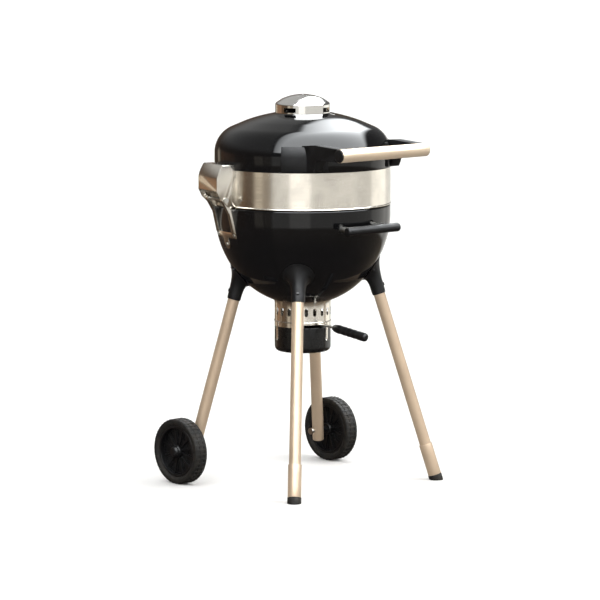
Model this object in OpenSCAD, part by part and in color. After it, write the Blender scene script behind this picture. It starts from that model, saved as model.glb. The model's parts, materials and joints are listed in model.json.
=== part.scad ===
// Kettle charcoal grill on two wheeled legs and two plain legs.
// Millimetres. +Z up, the handles face -Y and the wheels stand on the +Y side.
// The origin is on the floor, under the middle of the whole object.
// Azimuths are counted from the front (-Y) towards the right (+X).

/* [Bowl] */
// Outer radius of the bowl at its rim
bowl_r = 240; // [210:1:280]
// Depth of the bowl from its widest level to its lowest point
bowl_depth = 255; // [225:1:290]
// How far the centre of the bowl's side arc stands behind the axis
bowl_side_shift = 25; // [20:1:40]
// Straight height between the widest level and the rim
rim_h = 23; // [15:1:40]
// Thickness of the enamelled sheet
sheet_t = 1.5; // [1:0.1:2.5]
// Height of the rim above the floor
rim_z = 766; // [700:1:850]
// Width of the flat ledge inside the rim
ledge_w = 9; // [7:0.5:14]
// Height of the upstand at the ledge's inner edge
upstand_h = 8; // [4:0.5:10]

/* [Lid] */
// Outer radius of the lid above its band
lid_r = 241; // [211:1:281]
// Height of the steel band
band_h = 102.5; // [80:0.5:120]
// Thickness of the steel band
band_t = 1; // [0.8:0.1:1.5]
// Radius of the rolled lip under the band
lip_r = 3; // [2:0.25:4]
// Straight height of the lid above the band
lid_straight_h = 38; // [25:1:60]
// Radius of the lid's shoulder
shoulder_r = 76; // [55:1:90]
// Height of the crown above the shoulder's lowest point
crown_h = 114; // [100:1:140]
// Radius of the hole under the top vent
lid_hole_r = 50; // [35:1:55]

/* [Top vent] */
// Outer radius of the vent cap
cap_r = 75; // [70:1:90]
// Height of the vent cap's skirt
cap_skirt_h = 27; // [22:1:35]
// Rise of the vent cap's dome above its skirt
cap_rise = 23; // [15:1:30]
// Sheet thickness of the vent parts
vent_t = 1.2; // [1:0.1:2]
// Outer radius of the fixed collar under the cap
collar_r = 67; // [60:1:68]
// Number of side windows in the collar and in the cap
window_count = 4; // [3:1:6]
// Angle that one window takes
window_angle = 28; // [20:1:28]
// Height of one window
window_h = 13; // [8:1:14]
// Reach of the thumb tab past the cap
tab_l = 14; // [10:1:25]

/* [Lid handle] */
// Length of the handle tube
grip_l = 322; // [260:1:360]
// Diameter of the handle tube
grip_d = 36; // [30:1:42]
// Distance of the handle tube from the kettle's axis
grip_reach = 312; // [295:1:350]
// Height of the handle tube above the rim
grip_h = 157; // [150:1:170]
// Width of one handle arm
arm_w = 32; // [26:1:40]
// Height of one handle arm at the tube
arm_h = 34; // [24:1:36]
// Height of an arm's foot on the lid
arm_foot_h = 66; // [50:1:70]
// Depth of an arm's foot, measured from the lid
arm_foot_l = 24; // [15:1:35]

/* [Hinge] */
// Azimuth of the hinge
hinge_azimuth = -105.4; // [-110:0.1:-95]
// Distance of the hinge pin from the kettle's axis, past the bowl's radius
pin_offset = 23; // [21:0.5:30]
// Height of the hinge pin above the rim
pin_h = 24; // [20:1:30]
// Diameter of the hinge pin
pin_d = 8; // [6:0.5:10]
// Outer width of the lid's hinge bracket
hinge_w = 112; // [90:1:130]
// How far the lid's hinge bracket stands out past the pin
hinge_out = 27; // [20:1:32]
// Height of the lid's hinge bracket
hinge_h = 112; // [100:1:120]
// Sheet thickness of the hinge parts
hinge_t = 2; // [1.5:0.1:3]
// Width of one strap of the bowl's hinge bracket
strap_w = 15; // [10:1:20]

/* [Bowl handle] */
// Length of the bowl handle's bar
bar_l = 194; // [150:1:230]
// Diameter of the bowl handle's bar
bar_d = 24; // [18:1:30]
// Distance of the bar from the kettle's axis
bar_reach = 274; // [268:1:300]
// Depth of the bar's axis below the rim
bar_drop = 51; // [35:1:80]
// Distance between the bar's two standoffs
standoff_gap = 140; // [100:1:160]
// Diameter of a standoff
standoff_d = 18; // [12:1:20]

/* [Legs] */
// Outer diameter of a leg tube
leg_d = 32; // [26:1:36]
// Wall of a leg tube
leg_wall = 2; // [1.5:0.1:3]
// Azimuth of the front legs
front_azimuth = 46.75; // [42:0.25:50]
// Distance of a front foot from the kettle's axis, at the floor
front_reach = 369; // [345:1:385]
// Lean of the front legs
front_lean = 17.1; // [16:0.1:18]
// Azimuth of the rear legs
rear_azimuth = 128.4; // [124:0.1:132]
// Distance of a rear leg's line from the kettle's axis, at the floor
rear_reach = 323.6; // [312:0.2:335]
// Lean of the rear legs
rear_lean = 14.9; // [14:0.1:15.6]
// Radius of a leg socket
socket_r = 21.5; // [19:0.5:24]
// How deep a leg tube sits in its socket
socket_depth = 52; // [40:1:60]
// Radius of the socket's pad on the bowl
pad_r = 40; // [32:1:46]
// Thickness of the socket's pad
pad_t = 4; // [3:0.5:6]
// Length of the sleeve on a front foot
sleeve_l = 88; // [60:1:120]
// Thickness of the sleeve
sleeve_t = 2.2; // [1.5:0.1:3]
// Height of the plastic plug under a front leg
plug_h = 16; // [12:1:24]

/* [Wheels] */
// Diameter of a wheel
wheel_d = 180; // [160:1:200]
// Width of a wheel's tyre
wheel_w = 42; // [30:1:50]
// Radial thickness of the tyre
tyre_t = 20; // [15:1:28]
// Distance from the kettle's axis plane to a wheel's middle plane
wheel_x = 285; // [280:1:300]
// Diameter of an axle
axle_d = 10; // [8:0.5:12]
// Number of spokes in a wheel
spoke_count = 12; // [8:1:14]

/* [Ash system] */
// Outer radius of the perforated vent ring
ring_r = 77; // [70:1:84]
// Height of the vent ring's lower edge above the floor
ring_z = 431; // [420:1:440]
// Sheet thickness of the ring and of the can
ring_t = 1.2; // [1:0.1:2]
// Number of air slots round the ring
slot_count = 20; // [12:1:24]
// Height of an air slot
slot_h = 22; // [14:1:28]
// Width of an air slot
slot_w = 10; // [6:1:12]
// Height of the ash can
can_h = 70; // [50:1:90]
// Radius of the ash can's rounded bottom edge
can_edge_r = 14; // [8:1:20]
// Reach of the damper lever's tip from the axis
lever_reach = 252; // [220:1:270]
// Diameter of the lever's grip
lever_grip_d = 24; // [18:1:28]
// Length of the lever's grip
lever_grip_l = 128; // [90:1:135]
// Number of vents in the bowl's bottom, and of sweeper blades
vent_count = 4; // [3:1:4]
// Angle that one bottom vent takes
vent_angle = 34; // [24:1:34]
// Angle that the lever turns through, from open to closed
lever_turn = 38; // [34:1:38]

/* [Grates] */
// Radius of the cooking grate's outer ring
cook_r = 225; // [196:1:227]
// Depth of the cooking grate below the rim
cook_drop = 30; // [24:1:40]
// Radius of the charcoal grate's outer ring
coal_r = 168; // [140:1:172]
// Depth of the charcoal grate below the rim
coal_drop = 168; // [155:1:175]
// Diameter of the rings' wire
ring_wire_d = 6; // [5:0.5:8]
// Diameter of the rods
rod_d = 4; // [3:0.5:5]
// Distance between the cooking grate's rods
cook_pitch = 17; // [14:1:24]
// Distance between the charcoal grate's rods
coal_pitch = 24; // [18:1:34]

/* [Clearances] */
// Gap between the lid and the bowl, and between other bodies that pass each other
body_gap = 0.5; // [0.3:0.1:1]
// Radial running fit of a turning joint
run_fit = 0.05; // [0.03:0.01:0.1]
// Radial gap of a fixed tube or screw in its hole
fixed_fit = 0.1; // [0.05:0.05:0.3]

/* [Hidden] */
$fn = 72;

// Colours of the finishes
ENAMEL = "#141414";
STEEL = "#b9b6ae";
BLACK = "#222222";
RUBBER = "#1b1b1b";
WIRE = "#8d8d8a";

// A length longer than anything it has to pass, and a small overlap for clean cuts
FAR = 400;
EPS = 0.01;

// The outlines' chords lie up to this far inside their arcs, and flat heads sit lower by it
chord_gap = 0.6;

// The kettle's axis stands this far behind the origin, which is under the middle of the footprint
tail_reach = rear_reach_at(wheel_d / 2) * -cos(rear_azimuth) + wheel_d / 2;
nose_reach = grip_reach + grip_d / 2;
kettle_y = (nose_reach - tail_reach) / 2;

// Bowl outline: a bottom arc on the axis and a side arc, tangent to each other
wide_z = rim_z - rim_h;
side_r = bowl_r + bowl_side_shift;
arc_lift = side_r - bowl_depth;
arc_drop = (pow(bowl_side_shift, 2) - pow(arc_lift, 2)) / (2 * arc_lift);
bottom_r = bowl_depth - arc_drop;
bottom_z = wide_z - arc_drop;
switch_angle = atan2(arc_drop, bowl_side_shift);
upstand_r = bowl_r - ledge_w;
bowl_low_z = wide_z - bowl_depth;

// Lid outline: skirt inside the band, straight part, shoulder arc and crown arc
lip_z = rim_z + body_gap + lip_r;
band_top_z = rim_z + body_gap + band_h;
skirt_r = bowl_r - band_t - fixed_fit;
shoulder_z = band_top_z + lid_straight_h;
shoulder_x = lid_r - shoulder_r;
crown_r = (pow(shoulder_x, 2) + pow(crown_h, 2) - pow(shoulder_r, 2)) / (2 * (crown_h - shoulder_r));
crown_z = shoulder_z + crown_h;
crown_angle = atan2(crown_r - crown_h, shoulder_x);

// Top vent levels
cap_low_z = crown_at(cap_r) + body_gap;
cap_shoulder_z = cap_low_z + cap_skirt_h;
cap_dome_r = (pow(cap_r, 2) + pow(cap_rise, 2)) / (2 * cap_rise);
cap_top_z = cap_shoulder_z + cap_rise;
collar_deck_z = cap_shoulder_z - 2 * vent_t;
window_z = cap_low_z + 2.5;
window_azimuth = 18;
tab_azimuth = 50;
rivet_r = 4;
cap_hub_r = 12;

// Lid handle
grip_z = rim_z + grip_h;
arm_x = grip_l / 2 - arm_w / 2;
arm_azimuth = asin(arm_x / lid_r);
arm_foot_low_z = band_top_z + 4;
arm_screw_azimuth = arm_azimuth - 1;
arm_screw_levels = [arm_foot_low_z + 9, arm_foot_low_z + 27];
arm_pad_t = 5;
arm_pad_span = 30;
arm_pad_turn = 5;
grip_wall = 2;
grip_screw_r = 6;
grip_screw_seat = sqrt(pow(grip_d / 2 - grip_wall, 2) - pow(grip_screw_r, 2)) - 0.1;
plug_t = 3;

// Hinge, in the vertical plane through the hinge's azimuth
pin_x = bowl_r + pin_offset;
pin_z = rim_z + pin_h;
hinge_low_z = rim_z + 6.5;
hinge_high_z = hinge_low_z + hinge_h;
hinge_face_x = pin_x + hinge_out;
strap_y = hinge_w / 2 - hinge_t - body_gap - strap_w / 2 - 1;
strap_t = 3;
ear_r = pin_d / 2 + 5;
bracket_bar_z = rim_z - 68;
tongue_z = rim_z - 100;
tongue_w = 28;

// Bowl handle
bar_z = rim_z - bar_drop;

// Legs
leg_r = leg_d / 2;
front_socket_z = 515;
rear_socket_z = 500;
sleeve_r = leg_r + sleeve_t;
pad_drop = 153;
pad_azimuth_step = 8.5;
bolt_r = 3;
bolt_l = 8;
wheel_r = wheel_d / 2;
wheel_y = -rear_reach_at(wheel_r) * cos(rear_azimuth);
axle_leg_x = rear_reach_at(wheel_r) * sin(rear_azimuth);
rear_leg_low_z = wheel_r - 26;
hub_r = 17;
gap_in_r = 36;
pocket_h = 2.5;
spacer_r = 9;
hub_cap_r = 15;
hub_cap_bore_l = 5;
rim_w = wheel_w - 8;
rim_t = 6;
disc_t = 7;
hub_l = wheel_w - 4;

// Ash system
lever_z = ring_z + 4;
lever_t = 4;
lever_w = 12;
lever_slot_h = 8;
lever_slot_angle = lever_turn + 13;
vent_azimuth = 45;
lever_bend_x = ring_r + 26;
lever_fall = 18;
shaft_r = 4;
blade_gap = 1.5;
blade_t = 2;
blade_r = 100;
blade_angle = vent_angle + 6;
blade_hub_r = 13;
vent_in_r = 26;
vent_out_r = 64;
can_top_z = ring_z - body_gap;
clip_azimuths = [14, 134, 254];
clip_angle = 7;
clip_t = 1.2;
clip_l = 34;
clip_up = 12;

// Grates
cook_z = rim_z - cook_drop;
coal_z = rim_z - coal_drop;
tab_t = 2;
grate_loop_r = 26;
grate_gap = 0.3;
tab_w = 16;
cook_tabs = [45, 135, 225, 315];
coal_tabs = [0, 90, 180, 270];

function rear_reach_at(z) = rear_reach - z * tan(rear_lean);
function arc(cx, cz, r, from, to, n) =
    [for (i = [0:n]) let (a = from + (to - from) * i / n) [cx + r * cos(a), cz + r * sin(a)]];
function reversed(points) = [for (i = [len(points) - 1:-1:0]) points[i]];
function crown_at(r, out = 0) = crown_z - crown_r + sqrt(pow(crown_r + out, 2) - pow(r, 2));
function bowl_at(z, out = 0) = sqrt(pow(side_r + out, 2) - pow(wide_z - z, 2)) - bowl_side_shift;
function floor_at(r, out = 0) = bottom_z - sqrt(pow(bottom_r + out, 2) - pow(r, 2));

// The bowl's outline from its lowest point to its widest level, moved outwards by out
function bowl_curve(out) = concat(
    arc(0, bottom_z, bottom_r + out, -90, -switch_angle, 8),
    arc(-bowl_side_shift, wide_z, side_r + out, -switch_angle + 1, 0, 8));

// The lid's outline from its straight part to a given radius on the crown
function lid_curve(out, inner_r) = concat(
    arc(shoulder_x, shoulder_z, shoulder_r + out, 0, crown_angle, 8),
    arc(0, crown_z - crown_r, crown_r + out, crown_angle + 1,
        acos(inner_r / (crown_r + out)), 6));

// Turns local +X to point outwards at an azimuth, with local +Y along the rim
module radial(azimuth) {
    rotate([0, 0, azimuth - 90]) children();
}

// Moves what is drawn about the kettle's axis to its place in the frame
module kettle() {
    translate([0, kettle_y, 0]) children();
}

// Lays local +Z along a horizontal radius, from the axis outwards
module outward(azimuth, z) {
    radial(azimuth) translate([0, 0, z]) rotate([0, 90, 0]) children();
}

// Lays local +Z along the bowl's outward normal at a depth below the rim
module bowl_normal(azimuth, drop) {
    dip = asin((drop - rim_h) / side_r);
    radial(azimuth) translate([-bowl_side_shift, 0, wide_z]) rotate([0, 90 + dip, 0]) children();
}

// Lays local +Z along the outward normal of the bowl's bottom, at a distance from the axis
module floor_normal(azimuth, r) {
    radial(azimuth) translate([0, 0, bottom_z]) rotate([0, 180 - asin(r / bottom_r), 0]) children();
}

// Stands local +Z along a leg's axis, from the floor up
module along_leg(azimuth, reach, lean) {
    radial(azimuth) translate([reach, 0, 0]) rotate([0, -lean, 0]) children();
}

module bowl_solid(out = 0) {
    rotate_extrude() polygon(concat(bowl_curve(out), [[bowl_r + out, rim_z], [0, rim_z]]));
}

module lid_section(out) {
    polygon(concat([[0, band_top_z], [lid_r + out, band_top_z]], lid_curve(out, 0.001)));
}

module lid_solid(out = 0) {
    rotate_extrude() lid_section(out);
}

module bowl_shell(out) {
    difference() {
        bowl_solid(out);
        bowl_solid();
    }
}

// A ring sector: a wedge of angle span, centred on an azimuth, between two radii and two levels
module sector(azimuth, span, r1, r2, z1, z2) {
    radial(azimuth) rotate([0, 0, -span / 2]) rotate_extrude(angle = span)
        polygon([[r1, z1], [r2, z1], [r2, z2], [r1, z2]]);
}

// A low round screw or rivet head with its shank: head outside z = 0, shank towards -Z
module rivet(head_r, head_h, shank_r, shank_l) {
    rotate_extrude() polygon([[0, -shank_l], [shank_r, -shank_l], [shank_r, 0], [head_r, 0],
        [head_r, head_h * 0.5], [head_r * 0.7, head_h], [0, head_h]]);
}

/* Bowl and what is fixed to it */

module bowl() {
    color(ENAMEL) kettle() difference() {
        rotate_extrude() polygon(concat(
            bowl_curve(0),
            [[bowl_r, rim_z], [upstand_r, rim_z], [upstand_r, rim_z + upstand_h],
                [upstand_r - sheet_t, rim_z + upstand_h], [upstand_r - sheet_t, rim_z - sheet_t],
                [bowl_r - sheet_t, rim_z - sheet_t]],
            reversed(bowl_curve(-sheet_t))));
        cylinder(r = shaft_r + run_fit, h = rim_z);
        for (i = [0:vent_count - 1])
            sector(vent_azimuth + i * 360 / vent_count, vent_angle, vent_in_r, vent_out_r,
                bowl_low_z - EPS, bowl_low_z + 40);
        ring_screw_holes();
        for (side = [-1, 1]) standoff_axis(side) cylinder(r = bolt_r + fixed_fit, h = FAR);
        for (spot = socket_bolt_spots()) bowl_normal(spot, pad_drop + rim_h)
            translate([0, 0, side_r - 20]) cylinder(r = bolt_r + fixed_fit, h = 40);
        for (spot = bowl_bracket_spots()) bracket_rivet_at(spot)
            cylinder(r = 2.5 + fixed_fit, h = 30, center = true);
    }
}

// Local +Z runs forwards through a standoff of the bowl handle
module standoff_axis(side) {
    translate([side * standoff_gap / 2, 0, bar_z]) rotate([90, 0, 0]) children();
}

module bowl_handle_bar() {
    color(BLACK) kettle() difference() {
        translate([-bar_l / 2, -bar_reach, bar_z]) rotate([0, 90, 0]) rotate_extrude()
            polygon(concat([[0, 0]], arc(bar_d / 2 - 5, 5, 5, -90, 0, 4),
                arc(bar_d / 2 - 5, bar_l - 5, 5, 0, 90, 4), [[0, bar_l]]));
        for (side = [-1, 1]) standoff_axis(side)
            cylinder(r = bolt_r + fixed_fit, h = bar_reach + 2);
    }
}

module bowl_handle_standoffs() {
    color(STEEL) kettle() for (side = [-1, 1]) difference() {
        standoff_axis(side) cylinder(r = standoff_d / 2, h = bar_reach);
        bowl_solid();
        translate([-bar_l / 2, -bar_reach, bar_z]) rotate([0, 90, 0])
            cylinder(r = bar_d / 2, h = bar_l);
        standoff_axis(side) cylinder(r = bolt_r + fixed_fit, h = bar_reach);
    }
}

module bowl_handle_screws() {
    inside = sqrt(pow(bowl_at(bar_z) - sheet_t, 2) - pow(standoff_gap / 2 + 6, 2)) - 1.5;
    color(STEEL) kettle() for (side = [-1, 1]) standoff_axis(side) translate([0, 0, inside])
        rotate([180, 0, 0]) rivet(6, 3.5, bolt_r, bar_reach - inside);
}

/* Hinge */

// Each as a side, left, middle or right, and a depth below the rim
function bowl_bracket_spots() = [for (side = [-1, 0, 1])
    [side, rim_z - (side == 0 ? tongue_z : bracket_bar_z - 6)]];

// Rivets of the bowl's bracket: at the foot of each strap and at the tongue's end
module bracket_rivet_at(spot) {
    drop = spot[1];
    turn = spot[0] * asin(strap_y / bowl_at(rim_z - drop));
    bowl_normal(hinge_azimuth + turn, drop) translate([0, 0, side_r]) children();
}

module hinge_bowl_bracket() {
    color(STEEL) kettle() difference() {
        union() {
            for (side = [-1, 1]) difference() {
                radial(hinge_azimuth) translate([0, side * strap_y + strap_w / 2, 0])
                    rotate([90, 0, 0]) linear_extrude(strap_w) union() {
                        polygon([[bowl_r - 40, bracket_bar_z],
                            [bowl_at(bracket_bar_z) + strap_t / 2, bracket_bar_z],
                            [bowl_r + 10, rim_z - 14], [pin_x + ear_r, pin_z],
                            [pin_x - ear_r, pin_z], [bowl_r + lip_r + 2, rim_z + 6],
                            [bowl_r + lip_r + 2, rim_z - body_gap],
                            [bowl_r - 40, rim_z - body_gap]]);
                        translate([pin_x, pin_z]) circle(ear_r);
                    }
                bowl_solid();
            }
            intersection() {
                bowl_shell(strap_t);
                union() {
                    radial(hinge_azimuth)
                        translate([0, -strap_y - strap_w / 2, bracket_bar_z - 14])
                        cube([FAR, 2 * strap_y + strap_w, 16]);
                    radial(hinge_azimuth) translate([0, -tongue_w / 2, tongue_z])
                        cube([FAR, tongue_w, bracket_bar_z - tongue_z]);
                    bowl_normal(hinge_azimuth, rim_z - tongue_z)
                        cylinder(r = tongue_w / 2, h = FAR);
                }
            }
        }
        hinge_axis() cylinder(r = pin_d / 2, h = hinge_w + 20, center = true);
        for (spot = bowl_bracket_spots()) bracket_rivet_at(spot)
            cylinder(r = 2.5 + fixed_fit, h = 60, center = true);
    }
}

// Local +Z runs along the hinge pin, from its middle
module hinge_axis() {
    radial(hinge_azimuth) translate([pin_x, 0, pin_z]) rotate([90, 0, 0]) children();
}

module hinge_bowl_rivets() {
    color(STEEL) kettle() for (spot = bowl_bracket_spots()) bracket_rivet_at(spot)
        translate([0, 0, strap_t]) rivet(5, 2, 2.5, strap_t + sheet_t + 2);
}

module hinge_pin() {
    color(STEEL) kettle() hinge_axis() {
        cylinder(r = pin_d / 2, h = hinge_w + 4, center = true);
        for (side = [-1, 1]) translate([0, 0, side * (hinge_w / 2 + 2.5)])
            cylinder(r = pin_d / 2 + 2.5, h = 3, center = true);
    }
}

// Outline of the hinge housing's cheeks, in the plane of radius and height
module cheek_outline() {
    intersection() {
        polygon([[bowl_r - 20, hinge_low_z], [pin_x - 6, hinge_low_z],
            [hinge_face_x - 10, pin_z + 4], [hinge_face_x, pin_z + 24],
            [hinge_face_x, hinge_high_z - 12], [hinge_face_x - 12, hinge_high_z],
            [bowl_r - 20, hinge_high_z]]);
        translate([pin_x - 60, pin_z + 40]) circle(r = hinge_out + 62);
    }
}

module hinge_lid_bracket() {
    color(STEEL) kettle() difference() {
        union() {
            for (side = [-1, 1]) radial(hinge_azimuth)
                translate([0, side * (hinge_w - hinge_t) / 2 + hinge_t / 2, 0])
                rotate([90, 0, 0]) linear_extrude(hinge_t) cheek_outline();
            radial(hinge_azimuth) translate([0, hinge_w / 2, 0]) rotate([90, 0, 0])
                linear_extrude(hinge_w) difference() {
                    cheek_outline();
                    translate([-hinge_t, -hinge_t]) cheek_outline();
                    polygon([[bowl_r - 20, hinge_low_z - 1], [hinge_face_x + 9, hinge_low_z - 1],
                        [hinge_face_x + 9, pin_z + 25], [bowl_r - 20, pin_z + 25]]);
                }
            intersection() {
                radial(hinge_azimuth) translate([0, -hinge_w / 2, hinge_low_z])
                    cube([FAR, hinge_w, band_top_z - hinge_low_z - 3]);
                cylinder(r = bowl_r + hinge_t, h = FAR * 3);
            }
        }
        cylinder(r = bowl_r + EPS, h = band_top_z + EPS);
        lid_solid(body_gap);
        cylinder(r = bowl_r + lip_r - 1, h = lip_z + lip_r);
        hinge_axis() cylinder(r = pin_d / 2 + run_fit, h = hinge_w + 20, center = true);
        for (spot = lid_bracket_spots()) outward(spot[0], spot[1])
            cylinder(r = 2.5 + fixed_fit, h = bowl_r + 8);
    }
}

function lid_bracket_spots() = [for (turn = [-6, 6], up = [30, 62])
    [hinge_azimuth + turn, rim_z + up]];

module hinge_lid_rivets() {
    color(STEEL) kettle() for (spot = lid_bracket_spots()) outward(spot[0], spot[1])
        translate([0, 0, bowl_r + hinge_t + 0.1]) rivet(4.5, 2, 2.5, hinge_t + 5);
}

/* Grate supports */

module grate_clips(azimuths, level, reach) {
    for (azimuth = azimuths) intersection() {
        bowl_solid(-sheet_t);
        radial(azimuth) union() {
            translate([reach, -tab_w / 2, level - tab_t]) cube([FAR, tab_w, tab_t]);
            difference() {
                translate([reach, -tab_w / 2, level - 22]) cube([FAR, tab_w, 22]);
                bowl_solid(-sheet_t - tab_t);
            }
        }
    }
}

module cook_grate_clips() {
    color(STEEL) kettle() difference() {
        grate_clips(cook_tabs, cook_z, cook_r - 9);
        clip_rivet_holes(cook_tabs, cook_drop + 12);
    }
}

module coal_grate_clips() {
    color(STEEL) kettle() difference() {
        grate_clips(coal_tabs, coal_z, coal_r - 9);
        clip_rivet_holes(coal_tabs, coal_drop + 12);
    }
}

module clip_rivet_holes(azimuths, drop) {
    for (azimuth = azimuths) bowl_normal(azimuth, drop) translate([0, 0, side_r - 12])
        cylinder(r = 2 + fixed_fit, h = 24);
}

module clip_rivet() {
    translate([0, 0, side_r - sheet_t - tab_t - chord_gap]) rotate([180, 0, 0])
        rivet(4, 2, 2, tab_t - 0.1);
}

module clip_rivets() {
    color(STEEL) kettle() {
        for (azimuth = cook_tabs) bowl_normal(azimuth, cook_drop + 12) clip_rivet();
        for (azimuth = coal_tabs) bowl_normal(azimuth, coal_drop + 12) clip_rivet();
    }
}

/* Legs */

module socket(azimuth, reach, lean, low_z) {
    low = low_z / cos(lean);
    color(BLACK) kettle() difference() {
        union() {
            difference() {
                along_leg(azimuth, reach, lean) {
                    translate([0, 0, low]) cylinder(r = socket_r, h = 150);
                    translate([0, 0, low + 14]) cylinder(r1 = socket_r, r2 = socket_r + 8, h = 120);
                }
                bowl_solid();
            }
            intersection() {
                bowl_shell(pad_t);
                bowl_normal(azimuth, pad_drop + rim_h) cylinder(r = pad_r, h = FAR);
            }
        }
        along_leg(azimuth, reach, lean) {
            translate([0, 0, low - EPS]) cylinder(r = leg_r + fixed_fit, h = socket_depth + 1);
            translate([0, 0, low + 22]) rotate([0, 90, 0]) cylinder(r = bolt_r + fixed_fit, h = 60);
        }
        for (side = [-1, 1]) bowl_normal(azimuth + side * pad_azimuth_step, pad_drop + rim_h)
            cylinder(r = bolt_r + fixed_fit, h = side_r + bolt_l + 1);
    }
}

function socket_bolt_spots() = [for (leg = [front_azimuth, rear_azimuth, -front_azimuth,
    -rear_azimuth], side = [-1, 1]) leg + side * pad_azimuth_step];

module socket_front_left() { socket(-front_azimuth, front_reach, front_lean, front_socket_z); }
module socket_front_right() { socket(front_azimuth, front_reach, front_lean, front_socket_z); }
module socket_rear_left() { socket(-rear_azimuth, rear_reach, rear_lean, rear_socket_z); }
module socket_rear_right() { socket(rear_azimuth, rear_reach, rear_lean, rear_socket_z); }

module socket_bolts() {
    color(STEEL) kettle() for (spot = socket_bolt_spots()) bowl_normal(spot, pad_drop + rim_h)
        translate([0, 0, side_r - sheet_t - chord_gap]) rotate([180, 0, 0])
        rivet(6, 3, bolt_r, sheet_t + bolt_l);
}

module socket_screws() {
    color(STEEL) kettle() for (side = [-1, 1]) {
        along_leg(side * front_azimuth, front_reach, front_lean)
            translate([0, 0, front_socket_z / cos(front_lean) + 22]) leg_screw();
        along_leg(side * rear_azimuth, rear_reach, rear_lean)
            translate([0, 0, rear_socket_z / cos(rear_lean) + 22]) leg_screw();
    }
}

// Local +Z is the leg's axis: the screw comes in from the outer side
module leg_screw() {
    translate([socket_r + 3.2, 0, 0]) rotate([0, 90, 0]) rivet(5.5, 3, bolt_r, 16);
}

module leg(azimuth, reach, lean, low_z, high_z) {
    low = low_z / cos(lean);
    high = high_z / cos(lean);
    color(STEEL) kettle() difference() {
        along_leg(azimuth, reach, lean) translate([0, 0, low]) difference() {
            cylinder(r = leg_r, h = high - low);
            translate([0, 0, -EPS]) cylinder(r = leg_r - leg_wall, h = high - low + 2 * EPS);
            translate([0, 0, high - low - socket_depth + 22]) rotate([0, 90, 0])
                cylinder(r = bolt_r + fixed_fit, h = FAR);
        }
        if (reach == rear_reach) axle_line(azimuth > 0 ? 1 : -1)
            cylinder(r = axle_d / 2 + fixed_fit, h = FAR);
    }
}

module leg_front_left() { front_leg(-front_azimuth); }
module leg_front_right() { front_leg(front_azimuth); }
module leg_rear_left() { rear_leg(-rear_azimuth); }
module leg_rear_right() { rear_leg(rear_azimuth); }

module front_leg(azimuth) {
    leg(azimuth, front_reach, front_lean, plug_h * cos(front_lean),
        front_socket_z + socket_depth * cos(front_lean));
}

module rear_leg(azimuth) {
    leg(azimuth, rear_reach, rear_lean, rear_leg_low_z,
        rear_socket_z + socket_depth * cos(rear_lean));
}

module foot_sleeve(azimuth) {
    color(STEEL) kettle() along_leg(azimuth, front_reach, front_lean)
        translate([0, 0, plug_h]) difference() {
            cylinder(r = sleeve_r, h = sleeve_l);
            translate([0, 0, -EPS]) cylinder(r = leg_r + fixed_fit, h = sleeve_l + 2 * EPS);
        }
}

module foot_sleeve_left() { foot_sleeve(-front_azimuth); }
module foot_sleeve_right() { foot_sleeve(front_azimuth); }

module foot_plug(azimuth) {
    color(RUBBER) kettle() difference() {
        along_leg(azimuth, front_reach, front_lean) {
            translate([0, 0, -20]) cylinder(r = sleeve_r + 0.6, h = 20 + plug_h);
            cylinder(r = leg_r - leg_wall - fixed_fit, h = plug_h + 18);
        }
        translate([-2 * FAR, -2 * FAR, -FAR]) cube([4 * FAR, 4 * FAR, FAR]);
    }
}

module foot_plug_left() { foot_plug(-front_azimuth); }
module foot_plug_right() { foot_plug(front_azimuth); }

/* Wheels */

// Local +Z runs outwards along a wheel's axle, from the kettle's middle plane
module axle_line(side) {
    translate([0, wheel_y, wheel_r]) rotate([0, side * 90, 0]) children();
}

module rear_leg_plugs() {
    color(BLACK) kettle() for (side = [-1, 1])
        along_leg(side * rear_azimuth, rear_reach, rear_lean)
        translate([0, 0, rear_leg_low_z / cos(rear_lean)]) {
            translate([0, 0, -4]) cylinder(r = leg_r, h = 4);
            translate([0, 0, -EPS]) cylinder(r = leg_r - leg_wall - fixed_fit, h = 12);
        }
}

module axle(side) {
    color(STEEL) kettle() axle_line(side) {
        translate([0, 0, axle_leg_x - 26])
            cylinder(r = axle_d / 2, h = wheel_x + hub_l / 2 + 5 - axle_leg_x + 26);
        translate([0, 0, axle_leg_x - 30]) cylinder(r = axle_d / 2 + 4, h = 5);
    }
}

module axle_left() { axle(-1); }
module axle_right() { axle(1); }

// Spacer between a rear leg and its wheel, with a hollow that follows the leg's tube
module axle_spacers() {
    color(BLACK) kettle() for (side = [-1, 1]) difference() {
        axle_line(side) translate([0, 0, axle_leg_x + 4])
            cylinder(r = spacer_r, h = wheel_x - hub_l / 2 - body_gap - axle_leg_x - 4);
        along_leg(side * rear_azimuth, rear_reach, rear_lean) cylinder(r = leg_r, h = 200);
        axle_line(side) cylinder(r = axle_d / 2 + fixed_fit, h = FAR);
    }
}

module wheel_tyre(side) {
    half = wheel_w / 2;
    color(RUBBER) kettle() axle_line(side) translate([0, 0, wheel_x]) rotate_extrude()
        polygon(concat([[wheel_r - tyre_t, -half + 5]],
            [[wheel_r - 9, -half]], arc(wheel_r - 6, 6 - half, 6, -60, 0, 3),
            arc(wheel_r - 6, half - 6, 6, 0, 60, 3), [[wheel_r - 9, half]],
            [[wheel_r - tyre_t, half - 5]]));
}

module wheel_tyre_left() { wheel_tyre(-1); }
module wheel_tyre_right() { wheel_tyre(1); }

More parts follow.
